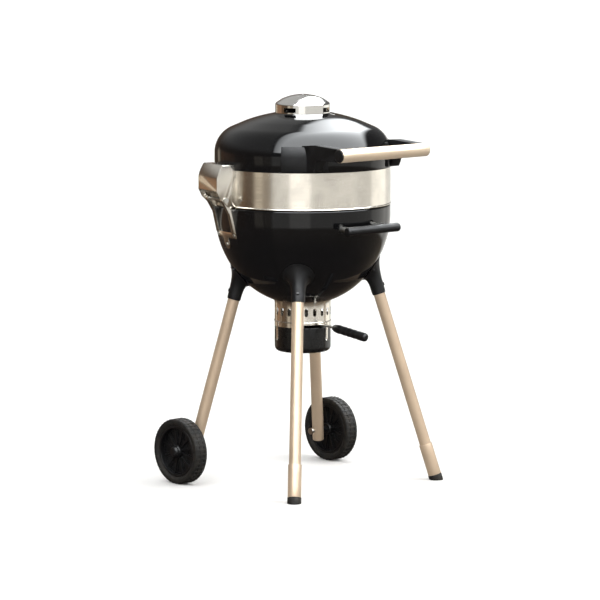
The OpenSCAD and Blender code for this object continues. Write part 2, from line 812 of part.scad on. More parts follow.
module wheel_disc(side) {
    rim_r = wheel_r - tyre_t;
    pitch = 360 / spoke_count;
    color(BLACK) kettle() axle_line(side) translate([0, 0, wheel_x]) difference() {
        union() {
            translate([0, 0, -rim_w / 2]) difference() {
                cylinder(r = rim_r, h = rim_w);
                translate([0, 0, -EPS]) cylinder(r = rim_r - rim_t, h = rim_w + 2 * EPS);
            }
            translate([0, 0, -disc_t / 2]) difference() {
                cylinder(r = rim_r - rim_t / 2, h = disc_t);
                for (i = [0:spoke_count - 1], low = [-EPS, disc_t - pocket_h])
                    rotate([0, 0, (i + 0.25) * pitch]) rotate_extrude(angle = pitch / 2)
                    translate([gap_in_r, low])
                    square([rim_r - rim_t - 4 - gap_in_r, pocket_h + EPS]);
            }
            translate([0, 0, -hub_l / 2]) cylinder(r = hub_r, h = hub_l);
        }
        translate([0, 0, -FAR / 2]) cylinder(r = axle_d / 2 + run_fit, h = FAR);
    }
}

module wheel_disc_left() { wheel_disc(-1); }
module wheel_disc_right() { wheel_disc(1); }

// Press-on cap: it turns with neither the wheel nor anything else, and covers the axle's end
module hub_cap(side) {
    color(BLACK) kettle() axle_line(side) translate([0, 0, wheel_x + hub_l / 2 + body_gap])
        difference() {
            rotate_extrude() polygon([[0, 0], [hub_cap_r, 0], [hub_cap_r, 3], [hub_cap_r - 4, 8],
                [0, 9]]);
            translate([0, 0, -EPS]) cylinder(r = axle_d / 2 + EPS, h = hub_cap_bore_l);
        }
}

module hub_cap_left() { hub_cap(-1); }
module hub_cap_right() { hub_cap(1); }

/* Vent ring, damper and ash can */

module vent_ring() {
    mid_z = (ring_z + 14 + floor_at(ring_r)) / 2;
    color(STEEL) kettle() difference() {
        union() {
            rotate_extrude() polygon([[ring_r - ring_t, ring_z], [ring_r, ring_z],
                [ring_r, floor_at(ring_r)], [ring_r - ring_t, floor_at(ring_r - ring_t)]]);
            intersection() {
                bowl_shell(ring_t);
                difference() {
                    cylinder(r = ring_r + 9, h = rim_z);
                    cylinder(r = ring_r - ring_t, h = rim_z);
                }
            }
            rotate_extrude() translate([ring_r, ring_z + 14]) circle(1.6, $fn = 24);
        }
        for (i = [0:slot_count - 1]) radial(i * 360 / slot_count)
            translate([ring_r - 6, -slot_w / 2, mid_z - slot_h / 2]) cube([12, slot_w, slot_h]);
        sector(-lever_turn / 2, lever_slot_angle, ring_r - 9, ring_r + 9, ring_z - EPS,
            ring_z + lever_slot_h);
        ring_screw_holes();
    }
}

function ring_screw_spots() = [60, 180, 300];

module ring_screw_holes() {
    for (spot = ring_screw_spots()) floor_normal(spot, ring_r + 5)
        translate([0, 0, bottom_r - 10]) cylinder(r = 2 + fixed_fit, h = 20);
}

module vent_ring_screws() {
    color(STEEL) kettle() for (spot = ring_screw_spots()) floor_normal(spot, ring_r + 5)
        translate([0, 0, bottom_r + ring_t]) rivet(3.5, 2, 2, ring_t + 0.8 * sheet_t);
}

module ash_can() {
    r = ring_r;
    low = can_top_z - can_h;
    color(BLACK) kettle() rotate_extrude() polygon(concat(
        [[0, low]], arc(r - can_edge_r, low + can_edge_r, can_edge_r, -90, 0, 5),
        [[r, can_top_z], [r - ring_t, can_top_z]],
        reversed(arc(r - can_edge_r, low + can_edge_r, can_edge_r - ring_t, -90, 0, 5)),
        [[0, low + ring_t]]));
}

// Spring clips: each is fixed to the ring and grips the can's wall
module ash_can_clips() {
    inner = ring_r + body_gap;
    low = ring_z - clip_l;
    color(STEEL) kettle() for (spot = clip_azimuths) radial(spot) rotate([0, 0, -clip_angle / 2])
        rotate_extrude(angle = clip_angle) polygon([[ring_r, ring_z], [ring_r, ring_z + clip_up],
            [inner + clip_t, ring_z + clip_up], [inner + clip_t, low + 1],
            [inner + clip_t + 3, low - 3], [inner + 3, low - 4], [inner, low], [inner, ring_z]]);
}

module damper_shaft() {
    color(STEEL) kettle() translate([0, 0, lever_z - 14])
        cylinder(r = shaft_r, h = floor_at(0, -sheet_t) + 16 - lever_z + 14);
}

module sweeper_blades() {
    inner = -sheet_t - blade_gap;
    color(BLACK) kettle() difference() {
        union() {
            for (i = [0:vent_count - 1])
                radial(vent_azimuth + lever_turn + i * 360 / vent_count)
                rotate([0, 0, -blade_angle / 2]) rotate_extrude(angle = blade_angle)
                intersection() {
                    difference() {
                        polygon(concat([[0, rim_z]], bowl_curve(inner), [[bowl_r, rim_z]]));
                        polygon(concat([[0, rim_z]], bowl_curve(inner - blade_t),
                            [[bowl_r, rim_z]]));
                    }
                    translate([blade_hub_r - 4, 0]) square([blade_r - blade_hub_r + 4, rim_z]);
                }
            translate([0, 0, floor_at(0, inner)]) cylinder(r = blade_hub_r, h = 10);
        }
        cylinder(r = shaft_r, h = rim_z);
        translate([0, 0, bowl_low_z - 30]) difference() {
            cylinder(r = blade_hub_r + 2, h = 60);
            bowl_cut();
        }
    }
}

// What the sweeper may fill: the space above the bowl's floor, less the running gap
module bowl_cut() {
    translate([0, 0, -bowl_low_z + 30]) bowl_solid(-sheet_t - blade_gap);
}

module damper_lever() {
    color(STEEL) kettle() difference() {
        union() {
            translate([0, 0, lever_z]) cylinder(r = 12, h = lever_t);
            radial(0) translate([0, -lever_w / 2, lever_z]) cube([lever_bend_x, lever_w, lever_t]);
            lever_line() translate([-2, -lever_w / 2, -lever_t / 2])
                cube([lever_reach - lever_bend_x - lever_grip_l / 2, lever_w, lever_t]);
        }
        translate([0, 0, lever_z - 1]) cylinder(r = shaft_r, h = lever_t + 2);
    }
}

// Local +X runs down the lever's outer stretch, from its bend
module lever_line() {
    radial(0) translate([lever_bend_x, 0, lever_z + lever_t / 2])
        rotate([0, atan2(lever_fall, lever_reach - lever_bend_x), 0]) children();
}

module lever_grip() {
    r = lever_grip_d / 2;
    color(BLACK) kettle() difference() {
        lever_line() translate([lever_reach - lever_bend_x - lever_grip_l, 0, 0])
            rotate([0, 90, 0]) rotate_extrude() polygon([[0, 0], [r - 5, 0], [r - 2, 4], [r, 20],
                [r, lever_grip_l - 8], [r - 4, lever_grip_l - 1], [0, lever_grip_l]]);
        lever_line() translate([-2, -lever_w / 2, -lever_t / 2])
            cube([lever_reach - lever_bend_x - lever_grip_l / 2, lever_w, lever_t]);
    }
}

module damper_nut() {
    color(STEEL) kettle() {
        translate([0, 0, lever_z - 6]) difference() {
            cylinder(r = 8, h = 6, $fn = 6);
            translate([0, 0, -EPS]) cylinder(r = shaft_r, h = 7);
        }
    }
}

/* Grates */

// Rods inside a ring of wire, on two cross bars; the rods end inside the ring's wire
module grate(radius, pitch, level) {
    ring_level = level + ring_wire_d / 2;
    count = rods_beside(radius, pitch);
    translate([0, 0, ring_level]) {
        rotate_extrude() translate([radius, 0]) circle(ring_wire_d / 2, $fn = 32);
        for (i = [-count:count]) translate([i * pitch, 0, 0]) rotate([90, 0, 0])
            cylinder(r = rod_d / 2, h = 2 * sqrt(pow(radius, 2) - pow(i * pitch, 2)),
                center = true, $fn = 24);
        for (side = [-1, 1]) translate([-bar_half(radius), side * radius * 0.45 - 2, -rod_d / 2 - 3])
            cube([2 * bar_half(radius), 4, 4]);
    }
}

function rods_beside(radius, pitch) = floor((radius - pitch / 3) / pitch);
function bar_half(radius) = sqrt(pow(radius, 2) - pow(radius * 0.45, 2)) - 1;

module cooking_grate() {
    color(WIRE) kettle() union() {
        grate(cook_r, cook_pitch, cook_z + grate_gap);
        for (side = [-1, 1])
            translate([side * cook_pitch * rods_beside(cook_r, cook_pitch), 0,
                cook_z + grate_gap + ring_wire_d / 2]) rotate([90, 0, 90])
                rotate_extrude(angle = 180) translate([grate_loop_r, 0])
                circle(rod_d / 2 - 0.2, $fn = 24);
    }
}

module charcoal_grate() {
    color(WIRE) kettle() grate(coal_r, coal_pitch, coal_z + grate_gap);
}

/* Lid */

module lid_dome() {
    color(ENAMEL) kettle() difference() {
        rotate_extrude() polygon(concat(
            [[skirt_r, lip_z + lip_r + fixed_fit], [skirt_r, band_top_z + fixed_fit],
                [lid_r, band_top_z + fixed_fit]],
            lid_curve(0, lid_hole_r),
            reversed(lid_curve(-sheet_t, lid_hole_r)),
            [[lid_r - sheet_t, band_top_z + 8], [skirt_r - sheet_t, band_top_z],
                [skirt_r - sheet_t, lip_z + lip_r + fixed_fit]]));
        for (side = [-1, 1], level = arm_screw_levels) outward(side * arm_screw_azimuth, level)
            cylinder(r = bolt_r + fixed_fit, h = FAR);
        for (spot = lid_bracket_spots()) outward(spot[0], spot[1])
            cylinder(r = 2.5 + fixed_fit, h = FAR);
        for (spot = band_rivet_spots()) outward(spot, band_rivet_z())
            cylinder(r = 2 + fixed_fit, h = FAR);
    }
}

module lid_band() {
    color(STEEL) kettle() difference() {
        rotate_extrude() union() {
            translate([bowl_r - band_t, lip_z]) square([band_t, band_top_z - lip_z]);
            translate([bowl_r - lip_r / 2, lip_z]) circle(lip_r, $fn = 32);
        }
        for (spot = lid_bracket_spots()) outward(spot[0], spot[1])
            cylinder(r = 2.5 + fixed_fit, h = FAR);
        for (spot = band_rivet_spots()) outward(spot, band_rivet_z())
            cylinder(r = 2 + fixed_fit, h = FAR);
    }
}

function band_rivet_spots() = [155, 165];
function band_rivet_z() = rim_z + band_h / 2;

module lid_band_rivets() {
    color(STEEL) kettle() for (spot = band_rivet_spots()) outward(spot, band_rivet_z())
        translate([0, 0, bowl_r + 0.1]) rivet(3.5, 1.6, 2, 4.5);
}

// Local +Z runs along the lid handle's tube, from its left end
module grip_line() {
    translate([-grip_l / 2, -grip_reach, grip_z]) rotate([0, 90, 0]) children();
}

module lid_handle_tube() {
    color(STEEL) kettle() grip_line() difference() {
        cylinder(r = grip_d / 2, h = grip_l);
        translate([0, 0, -EPS]) cylinder(r = grip_d / 2 - grip_wall, h = grip_l + 2 * EPS);
        for (x = [arm_w / 2, grip_l - arm_w / 2]) translate([0, 0, x]) rotate([90, 0, 0])
            translate([0, 0, -FAR]) cylinder(r = bolt_r + fixed_fit, h = FAR);
    }
}

module lid_handle_plugs() {
    r = grip_d / 2;
    color(BLACK) kettle() grip_line() for (end = [0, 1])
        translate([0, 0, end * grip_l]) mirror([0, 0, end]) {
            translate([0, 0, -plug_t]) rotate_extrude()
                polygon([[0, 0], [r - 3, 0], [r - 1, 1], [r, plug_t], [0, plug_t]]);
            cylinder(r = r - grip_wall - fixed_fit, h = 8);
        }
}

module arm(side) {
    foot_front = grip_foot_y();
    color(BLACK) kettle() difference() {
        union() {
            difference() {
                translate([side * arm_x - arm_w / 2, 0, 0]) rotate([90, 0, 90])
                    linear_extrude(arm_w) polygon([[-lid_r * 0.55, arm_foot_low_z],
                        [foot_front + 6, arm_foot_low_z], [foot_front, arm_foot_low_z + 10],
                        [foot_front - 8, grip_z - arm_h / 2], [-grip_reach, grip_z - arm_h / 2],
                        [-grip_reach, grip_z + arm_h / 2], [foot_front, grip_z + arm_h / 2 + 6],
                        [-lid_r * 0.55, arm_foot_low_z + arm_foot_h]]);
                lid_solid();
            }
            lid_patch(side * (arm_azimuth + arm_pad_turn), arm_pad_span, arm_pad_t,
                arm_foot_low_z, arm_foot_low_z + arm_foot_h);
        }
        grip_line() translate([0, 0, -50]) cylinder(r = grip_d / 2, h = grip_l + 100);
        for (level = arm_screw_levels) outward(side * arm_screw_azimuth, level)
            cylinder(r = bolt_r + fixed_fit, h = lid_r + 16);
        translate([side * arm_x, -grip_reach, grip_z]) rotate([-90, 0, 0])
            cylinder(r = bolt_r + fixed_fit, h = 40);
    }
}

// A plate of thickness t that follows the lid's face, centred on an azimuth
module lid_patch(azimuth, span, t, low_z, high_z) {
    radial(azimuth) rotate([0, 0, -span / 2]) rotate_extrude(angle = span) intersection() {
        difference() {
            lid_section(t);
            lid_section(0);
        }
        translate([lid_r / 2, low_z]) square([lid_r, high_z - low_z]);
    }
}

function grip_foot_y() = -sqrt(pow(lid_r, 2) - pow(arm_x, 2)) - arm_foot_l;

module lid_handle_arm_left() { arm(-1); }
module lid_handle_arm_right() { arm(1); }

module lid_handle_screws() {
    color(STEEL) kettle() for (side = [-1, 1]) {
        for (level = arm_screw_levels) outward(side * arm_screw_azimuth, level)
            translate([0, 0, lid_r - sheet_t - 0.3]) rotate([180, 0, 0])
            rivet(5.5, 3, bolt_r, sheet_t + 15);
        translate([side * arm_x, -grip_reach + grip_screw_seat, grip_z]) rotate([90, 0, 0])
            rivet(grip_screw_r, 3, bolt_r, 22);
    }
}

/* Top vent */

module vent_window(azimuth, r, z) {
    sector(azimuth, window_angle, r - 8, r + 8, z, z + window_h);
}

module vent_collar() {
    color(STEEL) kettle() difference() {
        rotate_extrude() polygon([
            [collar_r - vent_t, crown_at(collar_r - vent_t)],
            [collar_r + 3, crown_at(collar_r + 3)],
            [collar_r + 3, crown_at(collar_r + 3) + vent_t],
            [collar_r, crown_at(collar_r) + vent_t],
            [collar_r, collar_deck_z], [rivet_r, collar_deck_z],
            [rivet_r, collar_deck_z - vent_t],
            [collar_r - vent_t, collar_deck_z - vent_t]]);
        for (i = [0:window_count - 1])
            vent_window(window_azimuth + i * 360 / window_count, collar_r, window_z);
    }
}

module vent_cap() {
    dome_z = cap_top_z - cap_dome_r;
    color(STEEL) kettle() difference() {
        union() {
            rotate_extrude() polygon(concat(
                [[cap_r, cap_low_z]],
                arc(0, dome_z, cap_dome_r, acos(cap_r / cap_dome_r),
                    acos((rivet_r + run_fit) / cap_dome_r), 8),
                reversed(arc(0, dome_z, cap_dome_r - vent_t,
                    acos((cap_r - vent_t) / (cap_dome_r - vent_t)),
                    acos((rivet_r + run_fit) / (cap_dome_r - vent_t)), 8)),
                [[cap_r - vent_t, cap_low_z]]));
            radial(tab_azimuth) translate([cap_r - 1, -8, cap_low_z + 1])
                cube([tab_l + 1, 16, 2.5]);
            translate([0, 0, collar_deck_z + body_gap]) difference() {
                cylinder(r = cap_hub_r, h = cap_top_z - 0.75 * vent_t - collar_deck_z - body_gap);
                translate([0, 0, -EPS]) cylinder(r = rivet_r + run_fit, h = cap_rise * 2);
            }
        }
        for (i = [0:window_count - 1])
            vent_window(window_azimuth + i * 360 / window_count, cap_r, window_z);
    }
}

module vent_cap_rivet() {
    color(STEEL) kettle() {
        translate([0, 0, collar_deck_z - vent_t - 3])
            cylinder(r = rivet_r, h = cap_top_z - collar_deck_z + vent_t + 3.6);
        translate([0, 0, collar_deck_z - vent_t - 3]) cylinder(r = 8, h = 3);
    }
}

bowl();
bowl_handle_bar();
bowl_handle_standoffs();
bowl_handle_screws();
hinge_bowl_bracket();
hinge_bowl_rivets();
hinge_pin();
cook_grate_clips();
coal_grate_clips();
clip_rivets();
socket_front_left();
socket_front_right();
socket_rear_left();
socket_rear_right();
socket_bolts();
socket_screws();
leg_front_left();
leg_front_right();
leg_rear_left();
leg_rear_right();
foot_sleeve_left();
foot_sleeve_right();
foot_plug_left();
foot_plug_right();
rear_leg_plugs();
axle_left();
axle_right();
axle_spacers();
vent_ring();
vent_ring_screws();
ash_can_clips();
ash_can();
damper_shaft();
sweeper_blades();
damper_lever();
lever_grip();
damper_nut();
cooking_grate();
charcoal_grate();
lid_dome();
lid_band();
lid_band_rivets();
lid_handle_tube();
lid_handle_plugs();
lid_handle_arm_left();
lid_handle_arm_right();
lid_handle_screws();
hinge_lid_bracket();
hinge_lid_rivets();
vent_collar();
vent_cap();
vent_cap_rivet();
wheel_tyre_left();
wheel_disc_left();
hub_cap_left();
wheel_tyre_right();
wheel_disc_right();
hub_cap_right();
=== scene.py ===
"""Finished look of a kettle charcoal grill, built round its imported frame."""

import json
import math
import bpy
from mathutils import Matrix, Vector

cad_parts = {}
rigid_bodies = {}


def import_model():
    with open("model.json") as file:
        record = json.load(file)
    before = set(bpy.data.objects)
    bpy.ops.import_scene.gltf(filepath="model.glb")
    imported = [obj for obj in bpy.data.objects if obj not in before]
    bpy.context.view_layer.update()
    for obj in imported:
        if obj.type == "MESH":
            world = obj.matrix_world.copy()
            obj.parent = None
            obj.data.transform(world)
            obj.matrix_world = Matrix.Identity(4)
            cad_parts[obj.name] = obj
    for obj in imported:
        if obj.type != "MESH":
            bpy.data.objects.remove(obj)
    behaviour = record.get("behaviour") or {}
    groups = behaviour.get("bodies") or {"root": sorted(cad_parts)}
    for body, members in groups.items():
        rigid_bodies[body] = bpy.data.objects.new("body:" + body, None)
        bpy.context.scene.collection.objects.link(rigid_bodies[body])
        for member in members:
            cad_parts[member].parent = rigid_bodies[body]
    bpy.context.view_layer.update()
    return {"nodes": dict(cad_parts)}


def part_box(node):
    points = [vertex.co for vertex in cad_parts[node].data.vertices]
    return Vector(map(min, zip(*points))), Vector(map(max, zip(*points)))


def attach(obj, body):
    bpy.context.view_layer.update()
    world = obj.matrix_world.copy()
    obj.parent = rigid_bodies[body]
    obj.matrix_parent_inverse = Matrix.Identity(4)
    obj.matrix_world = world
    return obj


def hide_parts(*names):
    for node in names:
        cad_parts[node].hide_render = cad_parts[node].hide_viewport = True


bl_info = {
    "name": "Kettle charcoal grill",
    "version": (1, 0, 0),
    "blender": (4, 5, 0),
    "location": "View3D > Sidebar > Grill",
    "description": "Builds the finished pieces of a kettle charcoal grill round its frame",
    "category": "Add Mesh",
}

import bmesh
import bpy
from bpy.props import FloatProperty, FloatVectorProperty, IntProperty, PointerProperty
from mathutils import Matrix, Vector

for stray in list(bpy.data.objects):
    bpy.data.objects.remove(stray, do_unlink=True)
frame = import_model()

MM = 0.001
SIDES = {"left": -1, "right": 1}

# The kettle's axis, from the middle of the steel band
KETTLE = (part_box("lid_band")[0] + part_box("lid_band")[1]) / 2
KETTLE.z = 0.0

# Outlines, in millimetres about the kettle's axis. An arc is its centre's x and z and its radius;
# the bowl's side arc gives way to its floor arc at SWITCH_ANGLE
RIM_Z = 766.0
WIDE_Z = 743.0
BOWL_R = 240.0
SHEET_T = 1.5
SIDE_ARC = (-25.0, WIDE_Z, 265.0)
FLOOR_ARC = (0.0, 716.75, 228.75)
SWITCH_ANGLE = -46.4
LID_R = 241.0
SHOULDER_ARC = (165.0, 907.0, 76.0)
CROWN_ARC = (0.0, 1021.0 - 453.2, 453.2)
SHOULDER_END = 68.65
HOLE_R = 50.0

# Legs as azimuth from the front, reach at the floor, lean, lowest and highest point on the axis
LEGS = {
    "front_left": (-46.75, 369.0, 17.1, 16.0, 590.0),
    "front_right": (46.75, 369.0, 17.1, 16.0, 590.0),
    "rear_left": (-128.4, 323.6, 14.9, 66.2, 569.0),
    "rear_right": (128.4, 323.6, 14.9, 66.2, 569.0),
}


def linear(code):
    """Linear colour with full alpha from an sRGB hex code."""
    parts = [int(code[i : i + 2], 16) / 255 for i in (1, 3, 5)]
    return (*[c / 12.92 if c <= 0.04045 else ((c + 0.055) / 1.055) ** 2.4 for c in parts], 1.0)


class GrillSizes(bpy.types.PropertyGroup):
    """Sizes of the details that the finished pieces add to the frame"""

    segments: IntProperty(name="Segments", description="Faces round a large turned piece",
                          default=160, min=48)
    edge: FloatProperty(name="Sheet edge", description="Rounding of a cut or folded sheet edge",
                        default=0.0005, unit="LENGTH")
    mould_edge: FloatProperty(name="Moulded edge", description="Rounding of a moulded edge",
                              default=0.0022, unit="LENGTH")
    slot_count: IntProperty(name="Air slots", description="Air slots round the vent ring",
                            default=20)
    slot_width: FloatProperty(name="Slot width", description="Width of an air slot",
                              default=0.010, unit="LENGTH")
    slot_height: FloatProperty(name="Slot height", description="Height of an air slot",
                               default=0.022, unit="LENGTH")
    spoke_count: IntProperty(name="Spokes", description="Pockets and webs in one wheel", default=12)
    rib_count: IntProperty(name="Tread ribs", description="Cross ribs round one tyre", default=44)
    cook_pitch: FloatProperty(name="Cooking rods", description="Spacing of the cooking rods",
                              default=0.017, unit="LENGTH")
    coal_pitch: FloatProperty(name="Charcoal rods", description="Spacing of the charcoal rods",
                              default=0.024, unit="LENGTH")


def colour_property(name, description, code):
    return FloatVectorProperty(name=name, description=description, subtype="COLOR", size=4,
                               default=linear(code), min=0.0, max=1.0)


class GrillColours(bpy.types.PropertyGroup):
    """Base colours of the finishes"""

    enamel: colour_property("Enamel", "Vitreous enamel on the lid and bowl", "#0b0b0c")
    brushed: colour_property("Brushed steel", "Band, hinge and vent ring", "#e2ddd4")
    # The tube and grip colours are a painted reflection: a warm tan standing in for a warm room
    # reflected in grey satin steel
    tube: colour_property("Tube", "Legs and foot sleeves", "#b9a48c")
    grip: colour_property("Grip steel", "Lid handle's tube", "#cbb8a0")
    polished: colour_property("Polished steel", "Top vent", "#d9d8d5")
    nylon: colour_property("Nylon", "Moulded black parts", "#0d0d0e")
    rubber: colour_property("Rubber", "Tyres and feet", "#0f0e0d")
    paint: colour_property("Paint", "Ash can and sweeper", "#0b0b0b")
    wire: colour_property("Plated wire", "Both grates", "#b5b3ae")
    zinc: colour_property("Zinc", "Screws, rivets and pins", "#c2c0ba")


# Shapes


def arc(centre, start, end, steps, out=0.0):
    """Points on an arc given as centre x, centre z and radius."""
    x, z, radius = centre
    turns = [math.radians(start + (end - start) * i / steps) for i in range(steps + 1)]
    return [(x + (radius + out) * math.cos(t), z + (radius + out) * math.sin(t)) for t in turns]


def rounded(points, radius, steps=3, closed=True):
    """The same outline with its corners rounded, except on the axis and where it hardly turns."""
    result = []
    for i, point in enumerate(points):
        corner = Vector(point)
        before = Vector(points[i - 1]) - corner
        after = Vector(points[(i + 1) % len(points)]) - corner
        loose_end = not closed and i in (0, len(points) - 1)
        turn = 0.0 if loose_end or point[0] < MM else math.pi - before.angle(after)
        if turn < math.radians(20):
            result.append(tuple(point))
            continue
        cut = min(radius * math.tan(turn / 2), 0.45 * before.length, 0.45 * after.length)
        start, end = corner + before.normalized() * cut, corner + after.normalized() * cut
        for step in range(steps + 1):
            t = step / steps
            result.append(tuple(start * (1 - t) ** 2 + corner * 2 * t * (1 - t) + end * t ** 2))
    return result


def mirrored(half):
    """An outline from its half with levels above zero, listed from the lower end's first point."""
    return [(r, -z) for r, z in half] + [(r, z) for r, z in reversed(half)]


def bowl_line(out=0.0):
    """Bowl outline from its lowest point up to its widest level."""
    low = arc(FLOOR_ARC, -90, SWITCH_ANGLE, 30, out)
    return low + arc(SIDE_ARC, SWITCH_ANGLE, 0, 28, out)[1:]


def lid_line(out=0.0):
    """Lid outline from its straight part up to the edge of the vent hole."""
    crown_end = math.degrees(math.acos(HOLE_R / CROWN_ARC[2]))
    return (arc(SHOULDER_ARC, 0, SHOULDER_END, 24, out)
            + arc(CROWN_ARC, SHOULDER_END, crown_end, 18, out)[1:])


def facing(azimuth, reach=0.0, level=0.0):
    """Place with X pointing outwards at an azimuth counted from the front, and Z up."""
    turn = math.radians(azimuth)
    out = Vector((math.sin(turn), -math.cos(turn), 0))
    along = Vector((math.cos(turn), math.sin(turn), 0))
    place = Matrix((out, along, Vector((0, 0, 1)))).transposed().to_4x4()
    place.translation = KETTLE + out * reach * MM + Vector((0, 0, level * MM))
    return place


def tilted(degrees, axis="Y"):
    return Matrix.Rotation(math.radians(degrees), 4, axis)


def moved(x=0.0, y=0.0, z=0.0):
    return Matrix.Translation(Vector((x, y, z)) * MM)


def leg_place(azimuth, reach, lean):
    """Place with Z up a leg's axis, from the floor."""
    return facing(azimuth, reach) @ tilted(-lean)


def settle_mesh(name, bm, place=None, crease=32.0):
    """Makes an object of a built shape, with faces outwards, smooth faces and crisp corners."""
    if place is not None:
        bm.transform(place)
    bmesh.ops.recalc_face_normals(bm, faces=bm.faces)
    for face in bm.faces:
        face.smooth = True
    for line in bm.edges:
        line.smooth = len(line.link_faces) != 2 or line.calc_face_angle(0) < math.radians(crease)
    mesh = bpy.data.meshes.new(name)
    bm.to_mesh(mesh)
    bm.free()
    piece = bpy.data.objects.new(name, mesh)
    bpy.context.scene.collection.objects.link(piece)
    return piece


def soften(bm, width, segments=2, crease=35.0):
    """Rounds every crisp edge of a shape."""
    sharp = [e for e in bm.edges
             if len(e.link_faces) == 2 and e.calc_face_angle(0) > math.radians(crease)]
    bmesh.ops.bevel(bm, geom=sharp, offset=width, offset_type="OFFSET", segments=segments,
                    profile=0.5, affect="EDGES", clamp_overlap=True)


def quad(bm, uv, corners, spots):
    """One face from corners that may repeat at a pole, with its place on the unrolled surface."""
    kept = [i for i, c in enumerate(corners) if c not in corners[:i]]
    if len(kept) < 3:
        return
    face = bm.faces.new([corners[i] for i in kept])
    for loop, i in zip(face.loops, kept):
        loop[uv].uv = spots[i]


def ring(bm, radius, level, turns):
    """Points round the axis, or one shared point on it."""
    if radius < MM:
        return [bm.verts.new((0, 0, level * MM))] * len(turns)
    return [bm.verts.new((radius * MM * math.cos(t), radius * MM * math.sin(t), level * MM))
            for t in turns]


def run_lengths(points):
    """Distance along an outline at each of its points, in metres."""
    total, result = 0.0, [0.0]
    for a, b in zip(points, points[1:]):
        total += math.dist(a, b) * MM
        result.append(total)
    return result


def lathe(name, outline, place=None, segments=64):
    """A closed outline of radius and level turned round local Z."""
    bm = bmesh.new()
    uv = bm.loops.layers.uv.new("UVMap")
    turns = [2 * math.pi * k / segments for k in range(segments)]
    rings = [ring(bm, r, z, turns) for r, z in outline]
    runs = run_lengths(list(outline) + [outline[0]])
    widest = max(r for r, z in outline) * MM
    for i in range(len(outline)):
        low, high = rings[i], rings[(i + 1) % len(outline)]
        for k in range(segments):
            n = (k + 1) % segments
            u, w = turns[k] * widest, (turns[k] + turns[1]) * widest
            quad(bm, uv, [low[k], low[n], high[n], high[k]],
                 [(u, runs[i]), (w, runs[i]), (w, runs[i + 1]), (u, runs[i + 1])])
    return settle_mesh(name, bm, place)


def shell(name, outer, inner, windows=(), place=None, segments=160, edge=0.0):
    """A sheet between two outlines with as many points, turned round local Z and pierced.

    A window is an azimuth, an angle and the first and last outline point it lies between."""
    marks = {360.0 * k / segments for k in range(segments)}
    for azimuth, span, _, _ in windows:
        low, high = (azimuth - span / 2) % 360, (azimuth + span / 2) % 360
        marks = {m for m in marks if min(abs(m - low), abs(m - high)) > 90 / segments}
        marks |= {low, high}
    marks = sorted(marks)
    bm = bmesh.new()
    uv = bm.loops.layers.uv.new("UVMap")
    turns = [math.radians(m) for m in marks]
    skins = [[ring(bm, r, z, turns) for r, z in line] for line in (outer, inner)]
    runs = run_lengths(outer)
    widest = max(r for r, z in outer) * MM
    rows, columns = len(outer) - 1, len(marks)
    ends = marks[1:] + [marks[0] + 360]

    def solid(k, row):
        if row < 0 or row >= rows:
            return False
        middle = (marks[k % columns] + ends[k % columns]) / 2
        return not any(first <= row < last and abs((middle - azimuth + 180) % 360 - 180) < span / 2
                       for azimuth, span, first, last in windows)

    for k in range(columns):
        n = (k + 1) % columns
        u, w = math.radians(marks[k]) * widest, math.radians(ends[k]) * widest
        for row in range(rows):
            if not solid(k, row):
                continue
            spots = [(u, runs[row]), (w, runs[row]), (w, runs[row + 1]), (u, runs[row + 1])]
            for skin in skins:
                quad(bm, uv, [skin[row][k], skin[row][n], skin[row + 1][n], skin[row + 1][k]],
                     spots)
            sides = [(k - 1, row, (row, k), (row + 1, k)), (k + 1, row, (row, n), (row + 1, n)),
                     (k, row - 1, (row, k), (row, n)), (k, row + 1, (row + 1, k), (row + 1, n))]
            for column, level, a, b in sides:
                if not solid(column, level):
                    quad(bm, uv, [skins[0][a[0]][a[1]], skins[0][b[0]][b[1]],
                                  skins[1][b[0]][b[1]], skins[1][a[0]][a[1]]],
                         [spots[0], spots[1], spots[1], spots[0]])
    if edge:
        soften(bm, edge * MM)
    return settle_mesh(name, bm, place)


def slab(name, outline, thick, place=None, edge=0.6):
    """A plate of an outline in local X and Z, centred on local Y, with rounded edges."""
    bm = bmesh.new()
    sides = [[bm.verts.new((x * MM, y * thick / 2 * MM, z * MM)) for x, z in outline]
             for y in (-1, 1)]
    bm.faces.new(sides[0])
    bm.faces.new(sides[1])
    for i in range(len(outline)):
        n = (i + 1) % len(outline)
        bm.faces.new([sides[0][i], sides[0][n], sides[1][n], sides[1][i]])
    bmesh.ops.recalc_face_normals(bm, faces=bm.faces)
    soften(bm, edge * MM)
    return settle_mesh(name, bm, place)


def softened(name, nodes, edge):
    """A finished copy of plain parts: merged, cleared of needless lines, with rounded edges."""
    bm = bmesh.new()
    for node in nodes:
        bm.from_mesh(frame["nodes"][node].data)
    bmesh.ops.remove_doubles(bm, verts=bm.verts, dist=2e-6)
    bmesh.ops.dissolve_limit(bm, angle_limit=math.radians(0.4), verts=bm.verts, edges=bm.edges)
    soften(bm, edge)
    return settle_mesh(name, bm)


def joined(name, pieces):
    """One object from several, which are removed."""
    bm = bmesh.new()
    for piece in pieces:
        bm.from_mesh(piece.data)
        bpy.data.objects.remove(piece, do_unlink=True)
    return settle_mesh(name, bm)


# Node trees


def add(tree, kind, inputs=None, **settings):
    """Adds a node; an input that is a socket is linked and any other value is set."""
    node = tree.nodes.new(kind)
    for key, value in settings.items():
        setattr(node, key, value)
    for key, value in (inputs or {}).items():
        if isinstance(value, bpy.types.NodeSocket):
            tree.links.new(value, node.inputs[key])
        else:
            node.inputs[key].default_value = value
    return node


def math_node(tree, operation, *values):
    return add(tree, "ShaderNodeMath", dict(enumerate(values)), operation=operation).outputs[0]


